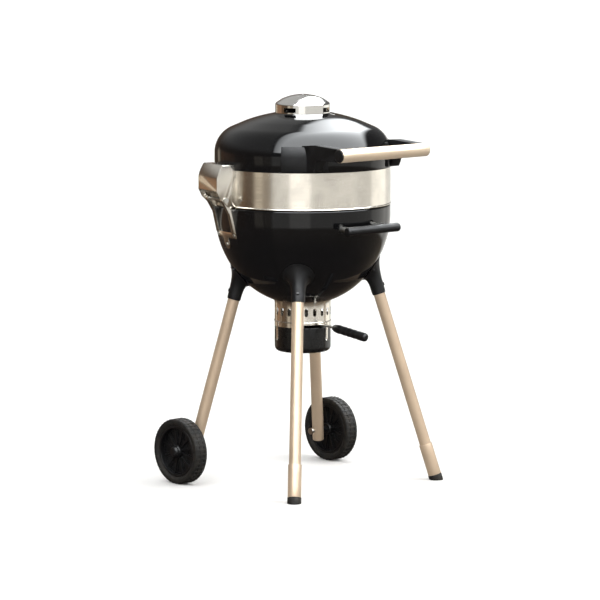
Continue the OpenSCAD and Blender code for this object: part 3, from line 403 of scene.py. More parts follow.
def new_tree(name, **inputs):
    """An empty node tree with named inputs; returns it and its input node."""
    tree = bpy.data.node_groups.new(name, "GeometryNodeTree")
    tree.interface.new_socket("Geometry", in_out="OUTPUT", socket_type="NodeSocketGeometry")
    tree.interface.new_socket("Geometry", in_out="INPUT", socket_type="NodeSocketGeometry")
    for key, kind in inputs.items():
        tree.interface.new_socket(key, in_out="INPUT", socket_type="NodeSocket" + kind)
    return tree, tree.nodes.new("NodeGroupInput")


def end_tree(tree, geometry, material):
    """Ends a tree in plain geometry with its finish."""
    real = add(tree, "GeometryNodeRealizeInstances", {"Geometry": geometry})
    dressed = add(tree, "GeometryNodeSetMaterial", {"Geometry": real.outputs[0],
                                                    "Material": material})
    add(tree, "NodeGroupOutput", {0: dressed.outputs[0]})
    return tree


def round_axis(tree, geometry, count):
    """Copies of a shape at equal turns round Z."""
    points = add(tree, "GeometryNodeMeshLine", {"Count": count, "Offset": (0, 0, 0)})
    index = add(tree, "GeometryNodeInputIndex").outputs[0]
    step = math_node(tree, "DIVIDE", 2 * math.pi, count)
    turn = add(tree, "FunctionNodeAxisAngleToRotation",
               {"Axis": (0, 0, 1), "Angle": math_node(tree, "MULTIPLY", index, step)})
    return add(tree, "GeometryNodeInstanceOnPoints",
               {"Points": points.outputs[0], "Instance": geometry,
                "Rotation": turn.outputs[0]}).outputs[0]


def copies_tree():
    tree, given = new_tree("Copies round an axis", Count="Int", Finish="Material")
    made = round_axis(tree, given.outputs["Geometry"], given.outputs["Count"])
    return end_tree(tree, made, given.outputs["Finish"])


def perforation_tree():
    """Cuts round-ended slots through a ring."""
    tree, given = new_tree("Perforated ring", Count="Int", Width="Float", Height="Float",
                           Radius="Float", Level="Float", Finish="Material")
    half = math_node(tree, "DIVIDE", given.outputs["Width"], 2.0)
    reach = math_node(tree, "SUBTRACT",
                      math_node(tree, "DIVIDE", given.outputs["Height"], 2.0), half)
    drill = add(tree, "GeometryNodeMeshCylinder", {"Vertices": 20, "Radius": half,
                                                   "Depth": 0.02}).outputs[0]
    ends = []
    for sign in (1.0, -1.0):
        level = math_node(tree, "MULTIPLY_ADD", reach, sign, given.outputs["Level"])
        spot = add(tree, "ShaderNodeCombineXYZ", {"X": given.outputs["Radius"], "Z": level})
        ends.append(add(tree, "GeometryNodeTransform",
                        {"Geometry": drill, "Translation": spot.outputs[0],
                         "Rotation": (0, math.pi / 2, 0)}).outputs[0])
    both = tree.nodes.new("GeometryNodeJoinGeometry")
    for end in ends:
        tree.links.new(end, both.inputs[0])
    cutter = add(tree, "GeometryNodeConvexHull", {"Geometry": both.outputs[0]}).outputs[0]
    cutters = add(tree, "GeometryNodeRealizeInstances",
                  {"Geometry": round_axis(tree, cutter, given.outputs["Count"])}).outputs[0]
    cut = add(tree, "GeometryNodeMeshBoolean", {"Mesh 1": given.outputs["Geometry"],
                                                "Mesh 2": cutters},
              operation="DIFFERENCE", solver="EXACT")
    return end_tree(tree, cut.outputs[0], given.outputs["Finish"])


def grate_tree():
    """Parallel rods inside a wire ring, on two cross rods."""
    tree, given = new_tree("Wire grate", Radius="Float", Pitch="Float", Count="Int",
                           Rod="Float", Wire="Float", Finish="Material")
    out = given.outputs
    first = math_node(tree, "MULTIPLY", math_node(tree, "SUBTRACT", out["Count"], 1.0), -0.5)
    start = add(tree, "ShaderNodeCombineXYZ",
                {"X": math_node(tree, "MULTIPLY", first, out["Pitch"])}).outputs[0]
    offset = add(tree, "ShaderNodeCombineXYZ", {"X": out["Pitch"]}).outputs[0]
    points = add(tree, "GeometryNodeMeshLine", {"Count": out["Count"], "Start Location": start,
                                                "Offset": offset}).outputs[0]
    spot = add(tree, "ShaderNodeSeparateXYZ",
               {0: add(tree, "GeometryNodeInputPosition").outputs[0]}).outputs["X"]
    inside = math_node(tree, "SUBTRACT", math_node(tree, "POWER", out["Radius"], 2.0),
                       math_node(tree, "MULTIPLY", spot, spot))
    length = math_node(tree, "MULTIPLY", math_node(tree, "SQRT", inside), 2.0)
    stretch = add(tree, "ShaderNodeCombineXYZ", {"X": 1.0, "Y": 1.0, "Z": length}).outputs[0]
    rod = add(tree, "GeometryNodeMeshCylinder",
              {"Vertices": 12, "Radius": math_node(tree, "DIVIDE", out["Rod"], 2.0),
               "Depth": 1.0}).outputs[0]
    rods = add(tree, "GeometryNodeInstanceOnPoints",
               {"Points": points, "Instance": rod, "Rotation": (math.pi / 2, 0, 0),
                "Scale": stretch}).outputs[0]
    path = add(tree, "GeometryNodeCurvePrimitiveCircle",
               {"Resolution": 96, "Radius": out["Radius"]}).outputs[0]
    profile = add(tree, "GeometryNodeCurvePrimitiveCircle",
                  {"Resolution": 14, "Radius": math_node(tree, "DIVIDE", out["Wire"], 2.0)})
    hoop = add(tree, "GeometryNodeCurveToMesh", {"Curve": path,
                                                 "Profile Curve": profile.outputs[0]}).outputs[0]
    parts = tree.nodes.new("GeometryNodeJoinGeometry")
    for part in (rods, hoop):
        tree.links.new(part, parts.inputs[0])
    reach = math_node(tree, "MULTIPLY", out["Radius"], 1.77)
    for side in (-0.45, 0.45):
        bar = add(tree, "GeometryNodeTransform",
                  {"Geometry": rod, "Rotation": (0, math.pi / 2, 0),
                   "Scale": add(tree, "ShaderNodeCombineXYZ",
                                {"X": 1.0, "Y": 1.0, "Z": reach}).outputs[0],
                   "Translation": add(tree, "ShaderNodeCombineXYZ",
                                      {"Y": math_node(tree, "MULTIPLY", out["Radius"], side),
                                       "Z": math_node(tree, "MULTIPLY", out["Rod"],
                                                      -0.8)}).outputs[0]})
        tree.links.new(bar.outputs[0], parts.inputs[0])
    return end_tree(tree, parts.outputs[0], out["Finish"])


def grow(name, tree, base=None, place=None, **values):
    """Runs a node tree on a piece, or on nothing, and keeps the result as a plain piece."""
    if base is None:
        base = bpy.data.objects.new(name, bpy.data.meshes.new(name))
        bpy.context.scene.collection.objects.link(base)
    modifier = base.modifiers.new("Grow", "NODES")
    modifier.node_group = tree
    sockets = {s.name: s.identifier for s in tree.interface.items_tree if s.in_out == "INPUT"}
    for key, value in values.items():
        modifier[sockets[key]] = value
    grown = bpy.data.meshes.new_from_object(
        base.evaluated_get(bpy.context.evaluated_depsgraph_get()))
    bpy.data.objects.remove(base, do_unlink=True)
    bm = bmesh.new()
    bm.from_mesh(grown)
    bpy.data.meshes.remove(grown)
    bmesh.ops.remove_doubles(bm, verts=bm.verts, dist=1e-6)
    return settle_mesh(name, bm, place)


# Finishes


def material_of(name, **values):
    """A material with one shader, whose plain values stand on the shader's own sockets."""
    material = bpy.data.materials.new(name)
    material.use_nodes = True
    tree = material.node_tree
    tree.nodes.clear()
    shader = add(tree, "ShaderNodeBsdfPrincipled",
                 {key.replace("_", " "): value for key, value in values.items()})
    add(tree, "ShaderNodeOutputMaterial", {"Surface": shader.outputs[0]})
    return material, tree, shader


def pattern(tree, spacing, stretch=(1, 1, 1), coordinates="Object", detail=3.0):
    """Noise whose marks are about a spacing apart, in metres, and longer where stretch is low."""
    source = add(tree, "ShaderNodeTexCoord").outputs[coordinates]
    turned = add(tree, "ShaderNodeMapping", {"Vector": source, "Scale": stretch}).outputs[0]
    return add(tree, "ShaderNodeTexNoise", {"Vector": turned, "Scale": 1 / spacing,
                                            "Detail": detail}).outputs["Fac"]


def spread(tree, value, low, high, first=0.3, last=0.7):
    """Maps the useful middle of a noise onto a range."""
    return add(tree, "ShaderNodeMapRange", {"Value": value, "From Min": first, "From Max": last,
                                            "To Min": low, "To Max": high}).outputs[0]


def relief(tree, shader, layers):
    """Stacks bumps on a shader; a layer is its noise and its depth in metres."""
    normal = None
    for height, depth in layers:
        inputs = {"Height": height, "Distance": depth, "Strength": 1.0}
        if normal is not None:
            inputs["Normal"] = normal
        normal = add(tree, "ShaderNodeBump", inputs).outputs[0]
    tree.links.new(normal, shader.inputs["Normal"])


def tint(tree, shader, colour, other, value):
    """Drifts the base colour between two colours."""
    mix = add(tree, "ShaderNodeMix", {0: value, 6: colour, 7: other}, data_type="RGBA")
    tree.links.new(mix.outputs[2], shader.inputs["Base Color"])


def shade(colour, factor):
    """A darker or lighter colour."""
    return (*[min(1.0, c * factor) for c in colour[:3]], 1.0)


def enamel_finish(colour):
    # Vitreous enamel fired on sheet steel: a deep black glass, glossy, with a faint orange peel
    material, tree, shader = material_of("Vitreous enamel, gloss black", IOR=1.56,
                                         Specular_IOR_Level=0.22, Roughness=0.06)
    peel = pattern(tree, 0.009, detail=1.0)
    sag = pattern(tree, 0.12, detail=0.0)
    tree.links.new(spread(tree, pattern(tree, 0.05), 0.045, 0.09), shader.inputs["Roughness"])
    tint(tree, shader, colour, shade(colour, 1.5), pattern(tree, 0.2))
    relief(tree, shader, [(sag, 0.0002), (peel, 0.000003)])
    return material


def brushed_finish(colour, name, lines, round_sheet):
    # Stainless sheet brushed along its length: fine lines that smear a highlight across them.
    # Real lines are a tenth of a millimetre apart; they are drawn coarser so that they show
    material, tree, shader = material_of(name, Metallic=1.0, Roughness=0.2, Anisotropic=0.35,
                                         Anisotropic_Rotation=0.25)
    source = "UV" if round_sheet else "Object"
    stretch = (0.02, 1, 1) if round_sheet else (1, 1, 0.03)
    brush = pattern(tree, lines, stretch, source, 2.0)
    stain = pattern(tree, 0.06)
    tree.links.new(spread(tree, brush, 0.16, 0.25), shader.inputs["Roughness"])
    tint(tree, shader, colour, shade(colour, 0.82), spread(tree, stain, 0.0, 1.0))
    relief(tree, shader, [(brush, 0.000005)])
    if round_sheet:
        along = add(tree, "ShaderNodeTangent", direction_type="UV_MAP", uv_map="UVMap")
        tree.links.new(along.outputs[0], shader.inputs["Tangent"])
    return material


def tube_finish(colour, name, metallic, rough):
    # Satin tube, rubbed round its girth: soft, with very faint rings. Its warm tan colour is a
    # painted reflection, and the tube is only partly metal so that the tan shows from every side
    material, tree, shader = material_of(name, Metallic=metallic, Roughness=rough,
                                         Anisotropic=0.2)
    girth = pattern(tree, 0.0016, (0.02, 1, 1), "UV", 2.0)
    drift = pattern(tree, 0.09)
    tree.links.new(spread(tree, girth, rough - 0.03, rough + 0.03), shader.inputs["Roughness"])
    tint(tree, shader, colour, shade(colour, 0.86), spread(tree, drift, 0.0, 1.0))
    relief(tree, shader, [(girth, 0.000002)])
    along = add(tree, "ShaderNodeTangent", direction_type="UV_MAP", uv_map="UVMap")
    tree.links.new(along.outputs[0], shader.inputs["Tangent"])
    return material


def polished_finish(colour):
    # Pressed and polished stainless: a near mirror with slight press waves and handling haze
    material, tree, shader = material_of("Polished stainless pressing", Metallic=1.0)
    tree.links.new(spread(tree, pattern(tree, 0.03), 0.07, 0.16), shader.inputs["Roughness"])
    tint(tree, shader, colour, shade(colour, 0.9), pattern(tree, 0.05))
    relief(tree, shader, [(pattern(tree, 0.03, detail=0.0), 0.00008)])
    return material


def nylon_finish(colour):
    # Glass-filled nylon out of a spark-eroded mould: even fine grain and a soft sheen
    material, tree, shader = material_of("Moulded glass-filled nylon", IOR=1.53,
                                         Specular_IOR_Level=0.2)
    grain = pattern(tree, 0.0014, detail=2.0)
    tree.links.new(spread(tree, pattern(tree, 0.02), 0.34, 0.5), shader.inputs["Roughness"])
    tint(tree, shader, colour, shade(colour, 1.5), spread(tree, pattern(tree, 0.03), 0.0, 1.0))
    relief(tree, shader, [(grain, 0.00006)])
    return material


def rubber_finish(colour):
    # Matt moulded rubber: dry, with faint patches of dust
    material, tree, shader = material_of("Moulded black rubber", IOR=1.52,
                                         Specular_IOR_Level=0.2)
    dust = spread(tree, pattern(tree, 0.018, detail=5.0), 0.0, 1.0, 0.42, 0.75)
    tree.links.new(spread(tree, pattern(tree, 0.01), 0.55, 0.8), shader.inputs["Roughness"])
    tint(tree, shader, colour, linear("#231f1a"), dust)
    relief(tree, shader, [(pattern(tree, 0.0012), 0.00008)])
    return material


def paint_finish(colour):
    # Semi-gloss stoving paint on pressed steel: a soft reflection and a fine ripple
    material, tree, shader = material_of("Semi-gloss stoved paint", IOR=1.5,
                                         Specular_IOR_Level=0.3)
    tree.links.new(spread(tree, pattern(tree, 0.02), 0.2, 0.32), shader.inputs["Roughness"])
    tint(tree, shader, colour, shade(colour, 1.4), pattern(tree, 0.04))
    relief(tree, shader, [(pattern(tree, 0.003, detail=1.0), 0.00001)])
    return material


def wire_finish(colour):
    # Dull nickel on drawn wire: grey metal with small changes of gloss along each rod
    material, tree, shader = material_of("Nickel plated wire", Metallic=1.0)
    tree.links.new(spread(tree, pattern(tree, 0.008), 0.22, 0.42), shader.inputs["Roughness"])
    tint(tree, shader, colour, shade(colour, 0.75), pattern(tree, 0.02))
    relief(tree, shader, [(pattern(tree, 0.0015), 0.00002)])
    return material


def zinc_finish(colour):
    # Bright zinc on small steel parts: cool grey with a cloudy, slightly crystalline surface
    material, tree, shader = material_of("Zinc plated steel", Metallic=1.0)
    tree.links.new(spread(tree, pattern(tree, 0.002), 0.26, 0.44), shader.inputs["Roughness"])
    tint(tree, shader, colour, shade(colour, 0.78), pattern(tree, 0.006))
    relief(tree, shader, [(pattern(tree, 0.0012), 0.00002)])
    return material


FINISHES = {}


def mix_finishes(colours):
    """Makes every finish once, under its slot's name."""
    FINISHES.update(
        black_enamel=enamel_finish(colours.enamel),
        brushed_stainless=brushed_finish(colours.brushed, "Brushed stainless sheet", 0.0022,
                                         True),
        brushed_plate=brushed_finish(colours.brushed, "Brushed stainless pressing", 0.0022,
                                     False),
        # The tubes' low metallic share lets their tan colour, a painted reflection, show at every
        # angle
        satin_tube=tube_finish(colours.tube, "Satin tube with painted warm reflection, leg", 0.35, 0.40),
        satin_grip=tube_finish(colours.grip, "Satin stainless tube with painted warm reflection, grip", 0.45, 0.34),
        polished_stainless=polished_finish(colours.polished),
        black_nylon=nylon_finish(colours.nylon),
        black_rubber=rubber_finish(colours.rubber),
        black_painted_steel=paint_finish(colours.paint),
        plated_wire=wire_finish(colours.wire),
        zinc_steel=zinc_finish(colours.zinc))


def settle(piece, body, slot, *nodes, finish=None):
    """Gives a piece its finish, the slot's own unless another is named, and its body, and hides the
    plain parts that it stands for.
    """
    piece.data.materials.clear()
    piece.data.materials.append(FINISHES[finish or slot])
    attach(piece, body)
    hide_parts(*nodes)


def dress(slot, *nodes):
    """Gives frame parts whose shape is right a real finish."""
    for node in nodes:
        mesh = frame["nodes"][node].data
        mesh.materials.clear()
        mesh.materials.append(FINISHES[slot])


# Pieces


class GRILL_OT_bowl(bpy.types.Operator):
    """Builds the enamelled bowl with its rolled rim and four bottom vents"""

    bl_idname = "grill.bowl"
    bl_label = "Bowl"

    def execute(self, context):
        sizes = context.scene.grill_sizes
        outer, inner = bowl_line(), bowl_line(-SHEET_T)
        rim = [(BOWL_R, 752), (BOWL_R, 762), (239.7, 764), (238.8, 765.3), (237.2, RIM_Z),
               (233, RIM_Z), (231.6, 766.5), (231, 767.8), (231, 773), (230.7, 773.8)]
        ledge = [(BOWL_R - SHEET_T, 752), (238.5, 761), (238.2, 763), (237.6, 764),
                 (236.5, 764.5), (232, 764.5), (230.2, 765.2), (229.5, 767), (229.5, 773),
                 (229.8, 773.8)]
        vents = []
        vent_in, vent_out, vent_angle, vent_count = 26.0, 64.0, 34.0, 4
        for radius in (vent_in, vent_out):
            steps = [abs(r - radius) for r, _ in outer]
            at = steps.index(min(steps))
            for line, skin_r in ((outer, FLOOR_ARC[2]), (inner, FLOOR_ARC[2] - SHEET_T)):
                line[at] = (radius, FLOOR_ARC[1] - math.sqrt(skin_r ** 2 - radius ** 2))
            vents.append(at)
        windows = [(360 / vent_count * (i - 0.5), vent_angle, *vents) for i in range(vent_count)]
        piece = shell("bowl_enamelled", outer + rim, inner + ledge, windows, facing(90),
                      sizes.segments)
        settle(piece, "stand", "black_enamel", "bowl")
        return {"FINISHED"}


class GRILL_OT_lid(bpy.types.Operator):
    """Builds the enamelled lid and the steel band with its rolled lip"""

    bl_idname = "grill.lid"
    bl_label = "Lid"

    def execute(self, context):
        sizes = context.scene.grill_sizes
        skirt = [(238.9, 773), (238.9, 868.6), (239.6, 869.25), (240.5, 869.7), (LID_R, 871)]
        lining = [(237.4, 773), (237.4, 869.4), (238.0, 870.4), (238.8, 871), (239.5, 872)]
        piece = shell("lid_enamelled", skirt + lid_line(), lining + lid_line(-SHEET_T), (),
                      facing(90), sizes.segments)
        settle(piece, "lid", "black_enamel", "lid_dome")

        lip = arc((238.5, 769.5, 3.0), 60, -279.6, 18)
        band = lathe("lid_band_rolled", [(240.0, 868.7), *[(240.0, z) for z in (860, 820, 780)],
                                         *lip, (239.0, 868.7), (239.3, 869.0), (239.7, 869.0)],
                     facing(90), sizes.segments)
        settle(band, "lid", "brushed_stainless", "lid_band")
        return {"FINISHED"}


class GRILL_OT_top_vent(bpy.types.Operator):
    """Builds the polished vent cap, its collar and its rivet"""

    bl_idname = "grill.top_vent"
    bl_label = "Top vent"

    def execute(self, context):
        cap_r, sheet, low_z, top_z = 75.0, 1.2, 1015.25, 1065.25
        shoulder_z, rise = low_z + 27, 23.0
        dome_r = (cap_r ** 2 + rise ** 2) / (2 * rise)
        dome = (0.0, top_z - dome_r, dome_r)
        window_azimuth, window_angle, window_count = -72, 28.0, 4
        tab_azimuth, tab_l = 50, 14

        def cap_line(out):
            steps = arc(dome, math.degrees(math.acos(cap_r / dome_r)), 88.2, 18, out)
            wall = [(cap_r + out, z) for z in (low_z, low_z + 2.5, low_z + 15.5)]
            return wall + rounded([wall[-1], (cap_r + out, shoulder_z - 1.5), *steps[5:]],
                                  16.0, 10, closed=False)[1:]

        windows = [(window_azimuth + 360 / window_count * i, window_angle, 1, 2)
                   for i in range(window_count)]
        cap = shell("cap_sheet", cap_line(0), cap_line(-sheet), windows, facing(90), 128)
        tab = slab("cap_tab", rounded([(cap_r - 1, 0), (cap_r + tab_l, 0), (cap_r + tab_l, 2.5),
                                       (cap_r - 1, 2.5)], 0.8), 16.0,
                   facing(tab_azimuth, 0, low_z + 1), 0.6)
        hub = lathe("cap_hub", [(4.05, 1040.35), (12, 1040.35), (12, 1063), (4.05, 1064)],
                    facing(90), 40)
        settle(joined("vent_cap_polished", [cap, tab, hub]), "vent_cap", "polished_stainless",
               "vent_cap")
        settle(softened("vent_collar_polished", ["vent_collar"], 0.0002), "lid",
               "polished_stainless", "vent_collar")
        rivet = lathe("vent_cap_rivet_domed", [(0, 1035.7), (8, 1035.7), (8, 1038.6), (4, 1038.6),
                                               (4, 1064.6), (3.6, 1065.3), (2.4, 1065.7),
                                               (0, 1065.85)], facing(90), 32)
        settle(rivet, "lid", "polished_stainless", "vent_cap_rivet")
        return {"FINISHED"}


class GRILL_OT_lid_handle(bpy.types.Operator):
    """Builds the lid handle's tube, end plugs and moulded arms"""

    bl_idname = "grill.lid_handle"
    bl_label = "Lid handle"

    def execute(self, context):
        sizes = context.scene.grill_sizes
        low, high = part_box("lid_handle_tube")
        start = Matrix.Translation((low.x, (low.y + high.y) / 2, (low.z + high.z) / 2))
        run, r = (high.x - low.x) / MM, 18.0
        tube = lathe("lid_handle_satin", rounded(
            [(r - 2, 0), (r, 0), *[(r, run * k / 8) for k in range(1, 8)], (r, run),
             (r - 2, run)], 0.5), start @ tilted(90), 64)
        settle(tube, "lid", "satin_tube", "lid_handle_tube", finish="satin_grip")
        ends = []
        for turn, at in ((-90, 0.0), (90, run)):
            outline = rounded([(0, 3), (r - 3, 3), (r, 0), (r - 2.1, 0), (r - 2.1, -8),
                               (0, -8)], 1.5)
            ends.append(lathe("plug", outline, start @ moved(x=at) @ tilted(turn), 48))
        settle(joined("lid_handle_end_plugs", ends), "lid", "black_nylon", "lid_handle_plugs")
        for side in SIDES:
            node = f"lid_handle_arm_{side}"
            settle(softened(node + "_moulded", [node], sizes.mould_edge), "lid", "black_nylon",
                   node)
        return {"FINISHED"}


class GRILL_OT_bowl_handle(bpy.types.Operator):
    """Builds the bowl handle's bar on its two standoffs"""

    bl_idname = "grill.bowl_handle"
    bl_label = "Bowl handle"

    def execute(self, context):
        low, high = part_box("bowl_handle_bar")
        start = Matrix.Translation((low.x, (low.y + high.y) / 2, (low.z + high.z) / 2))
        run, r = (high.x - low.x) / MM, 12.0
        end = arc((r - 5, 5, 5), -90, 0, 8)
        far_end = [(x, run - z) for x, z in reversed(end)]
        middle = [(r, run * k / 8) for k in range(1, 8)]
        bar = lathe("bowl_handle_grip", [(0, 0), *end, *middle, *far_end, (0, run)],
                    start @ tilted(90), 64)
        settle(bar, "stand", "black_nylon", "bowl_handle_bar")
        settle(softened("bowl_handle_spacers", ["bowl_handle_standoffs"], 0.0003), "stand",
               "zinc_steel", "bowl_handle_standoffs")
        return {"FINISHED"}


class GRILL_OT_hinge(bpy.types.Operator):
    """Builds the lid's hinge housing and the bowl's strap bracket"""

    bl_idname = "grill.hinge"
    bl_label = "Hinge"

    def execute(self, context):
        sizes = context.scene.grill_sizes
        for node, body in (("hinge_lid_bracket", "lid"), ("hinge_bowl_bracket", "stand")):
            settle(softened(node + "_pressed", [node], sizes.edge), body, "brushed_stainless",
                   node, finish="brushed_plate")
        return {"FINISHED"}


def bowl_gap(point):
    """Distance of a point from the outside of the bowl, below zero inside it."""
    across = math.hypot(point.x - KETTLE.x, point.y - KETTLE.y) / MM
    x, z, radius = SIDE_ARC
    if math.degrees(math.atan2(point.z / MM - z, across - x)) < SWITCH_ANGLE:
        x, z, radius = FLOOR_ARC
    return math.hypot(across - x, point.z / MM - z) - radius


def flare(name, place, low, bore_r):
    """A socket round a leg that widens in a hollow curve and ends just off the bowl."""
    neck_r, wide_x, wide_y = 19.0, 34.0, 43.0
    count, steps = 56, 16
    edge_gap, seat_gap = 1.6, 0.5

    def top(x, y, gap):
        """Level on a line beside the leg's axis at which the bowl is a gap away."""
        below, above = low, low + 160
        for _ in range(24):
            middle = (below + above) / 2
            if bowl_gap(place @ (Vector((x, y, middle)) * MM)) > gap:
                below = middle
            else:
                above = middle
        return below

    bm = bmesh.new()
    turns = [2 * math.pi * k / count for k in range(count)]
    hoops = []

    def add_hoop(half_x, half_y, height):
        spots = [(half_x * math.cos(t), half_y * math.sin(t)) for t in turns]
        hoops.append([bm.verts.new(Vector((x, y, height(x, y))) * MM) for x, y in spots])

    def seat(x, y):
        return top(x, y, seat_gap)

    add_hoop(bore_r, bore_r, lambda x, y: low)
    add_hoop(18.2, 18.2, lambda x, y: low)
    for k in range(1, steps + 1):
        grown = (k / steps) ** 3
        rise = 1 - (1 - k / steps) ** 1.5
        add_hoop(neck_r + (wide_x - neck_r) * grown, neck_r + (wide_y - neck_r) * grown,
                 lambda x, y, rise=rise: low + 1 + (top(x, y, edge_gap) - low - 1) * rise)
    for share in (0.97, 0.8, 0.6):
        add_hoop(wide_x * share, wide_y * share, seat)
    add_hoop(bore_r, bore_r, seat)
    for i in range(len(hoops)):
        first, second = hoops[i - 1], hoops[i]
        for k in range(count):
            bm.faces.new([first[k], first[k - 1], second[k - 1], second[k]])
    return settle_mesh(name, bm, place)


class GRILL_OT_legs(bpy.types.Operator):
    """Builds the leg tubes, their flared sockets and screws, and the front sleeves and feet"""

    bl_idname = "grill.legs"
    bl_label = "Legs"

    def execute(self, context):
        screws = []
        r, sleeve_r, sleeve_l = 16.0, 18.2, 88
        socket_l, screw_drop = 48, 26
        for name, (azimuth, reach, lean, low, high) in LEGS.items():
            place = leg_place(azimuth, reach, lean)
            head = rounded([(0, 12), (3, 12), (3, 18.6), (5, 18.6), (5, 20), (3.6, 21.2),
                            (0, 21.6)], 0.6)
            screws.append(lathe("screw", head, place @ moved(z=high - screw_drop) @ tilted(90), 24))
            tube = lathe(f"leg_{name}_tube", rounded(
                [(r - 2, low), (r, low), *[(r, low + (high - low) * k / 10)
                                           for k in range(1, 10)], (r, high), (r - 2, high)],
                0.5), place, 56)
            settle(tube, "stand", "satin_tube", f"leg_{name}")
            socket = flare(f"socket_{name}_moulded", place, high - socket_l, r + 0.1)
            settle(socket, "stand", "black_nylon", f"socket_{name}")
            if name.startswith("rear"):
                continue
            side = name.split("_")[1]
            sleeve = lathe(f"foot_sleeve_{side}_satin", rounded(
                [(r + 0.1, low), (sleeve_r, low), (sleeve_r, low + 30), (sleeve_r, low + 60),
                 (sleeve_r, low + sleeve_l), (r + 0.1, low + sleeve_l)], 0.9), place, 56)
            settle(sleeve, "stand", "satin_tube", f"foot_sleeve_{side}")
            plug = softened(f"foot_plug_{side}_moulded", [f"foot_plug_{side}"], 0.001)
            settle(plug, "stand", "black_rubber", f"foot_plug_{side}")
        settle(joined("socket_screws_domed", screws), "stand", "zinc_steel", "socket_screws",
               finish="black_painted_steel")
        return {"FINISHED"}


class GRILL_OT_wheels(bpy.types.Operator):
    """Builds the two wheels, with ribbed tyres and discs that carry webs, and their hub caps"""

    bl_idname = "grill.wheels"
    bl_label = "Wheels"

    def execute(self, context):
        sizes = context.scene.grill_sizes
        copies = copies_tree()
        for side, sign in SIDES.items():
            low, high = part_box(f"wheel_tyre_{side}")
            place = Matrix.Translation((low + high) / 2) @ tilted(90 * sign)
            tread = rounded(mirrored([(70, 16.2), (78, 20.4), (86, 20.4), (88.8, 18.2), (88.8, 9.5),
                                      (87.2, 8.8), (87.2, 6.2), (88.8, 5.5)]), 1.0)
            tyre = lathe("tyre", tread, place, 120)
            rib = slab("rib", mirrored([(85, 19.6), (89.0, 18.4), (89.9, 17.2)]), 4.2, None, 0.6)
            ribs = grow("ribs", copies, rib, place, Count=sizes.rib_count,
                        Finish=FINISHES["black_rubber"])
            settle(joined(f"wheel_tyre_{side}_ribbed", [tyre, ribs]), f"wheel_{side}",
                   "black_rubber", f"wheel_tyre_{side}")

            rim = lathe("rim", rounded(mirrored([(64, 17), (69.9, 17)]), 1.2), place, 120)
            pitch = 360 / sizes.spoke_count
            windows = [(i * pitch, pitch / 2, 2, 4) for i in range(sizes.spoke_count)]
            steps = (16.0, 30.0, 36.0, 48.0, 60.0, 65.0)
            plate = shell("plate", [(r, 3.5) for r in steps], [(r, -3.5) for r in steps],
                          windows, place, 96, 1.0)
            web_sheet = lathe("web_sheet", mirrored([(16, 1), (66, 1)]), place, 96)
            hub = lathe("hub", rounded(mirrored([(5.05, 19), (15, 19), (17, 15)]), 1.2), place, 48)
            web = slab("web", mirrored([(16, 9), (19, 9), (62, 6), (66, 6)]), 3.0, None, 0.7)
            webs = grow("webs", copies, web, place @ tilted(pitch / 2, "Z"),
                        Count=sizes.spoke_count, Finish=FINISHES["black_nylon"])
            settle(joined(f"wheel_disc_{side}_spoked", [rim, plate, web_sheet, hub, webs]),
                   f"wheel_{side}", "black_nylon", f"wheel_disc_{side}")

            cap_low, cap_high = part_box(f"hub_cap_{side}")
            centre = (cap_low + cap_high) / 2
            centre.x = cap_low.x if sign > 0 else cap_high.x
            cap = lathe(f"hub_cap_{side}_pressed", rounded(
                [(5.1, 0), (15, 0), (15, 3), (11, 8), (0, 9), (0, 5), (5.1, 5)], 1.6),
                Matrix.Translation(centre) @ tilted(90 * sign), 40)
            settle(cap, "stand", "black_nylon", f"hub_cap_{side}")
        return {"FINISHED"}


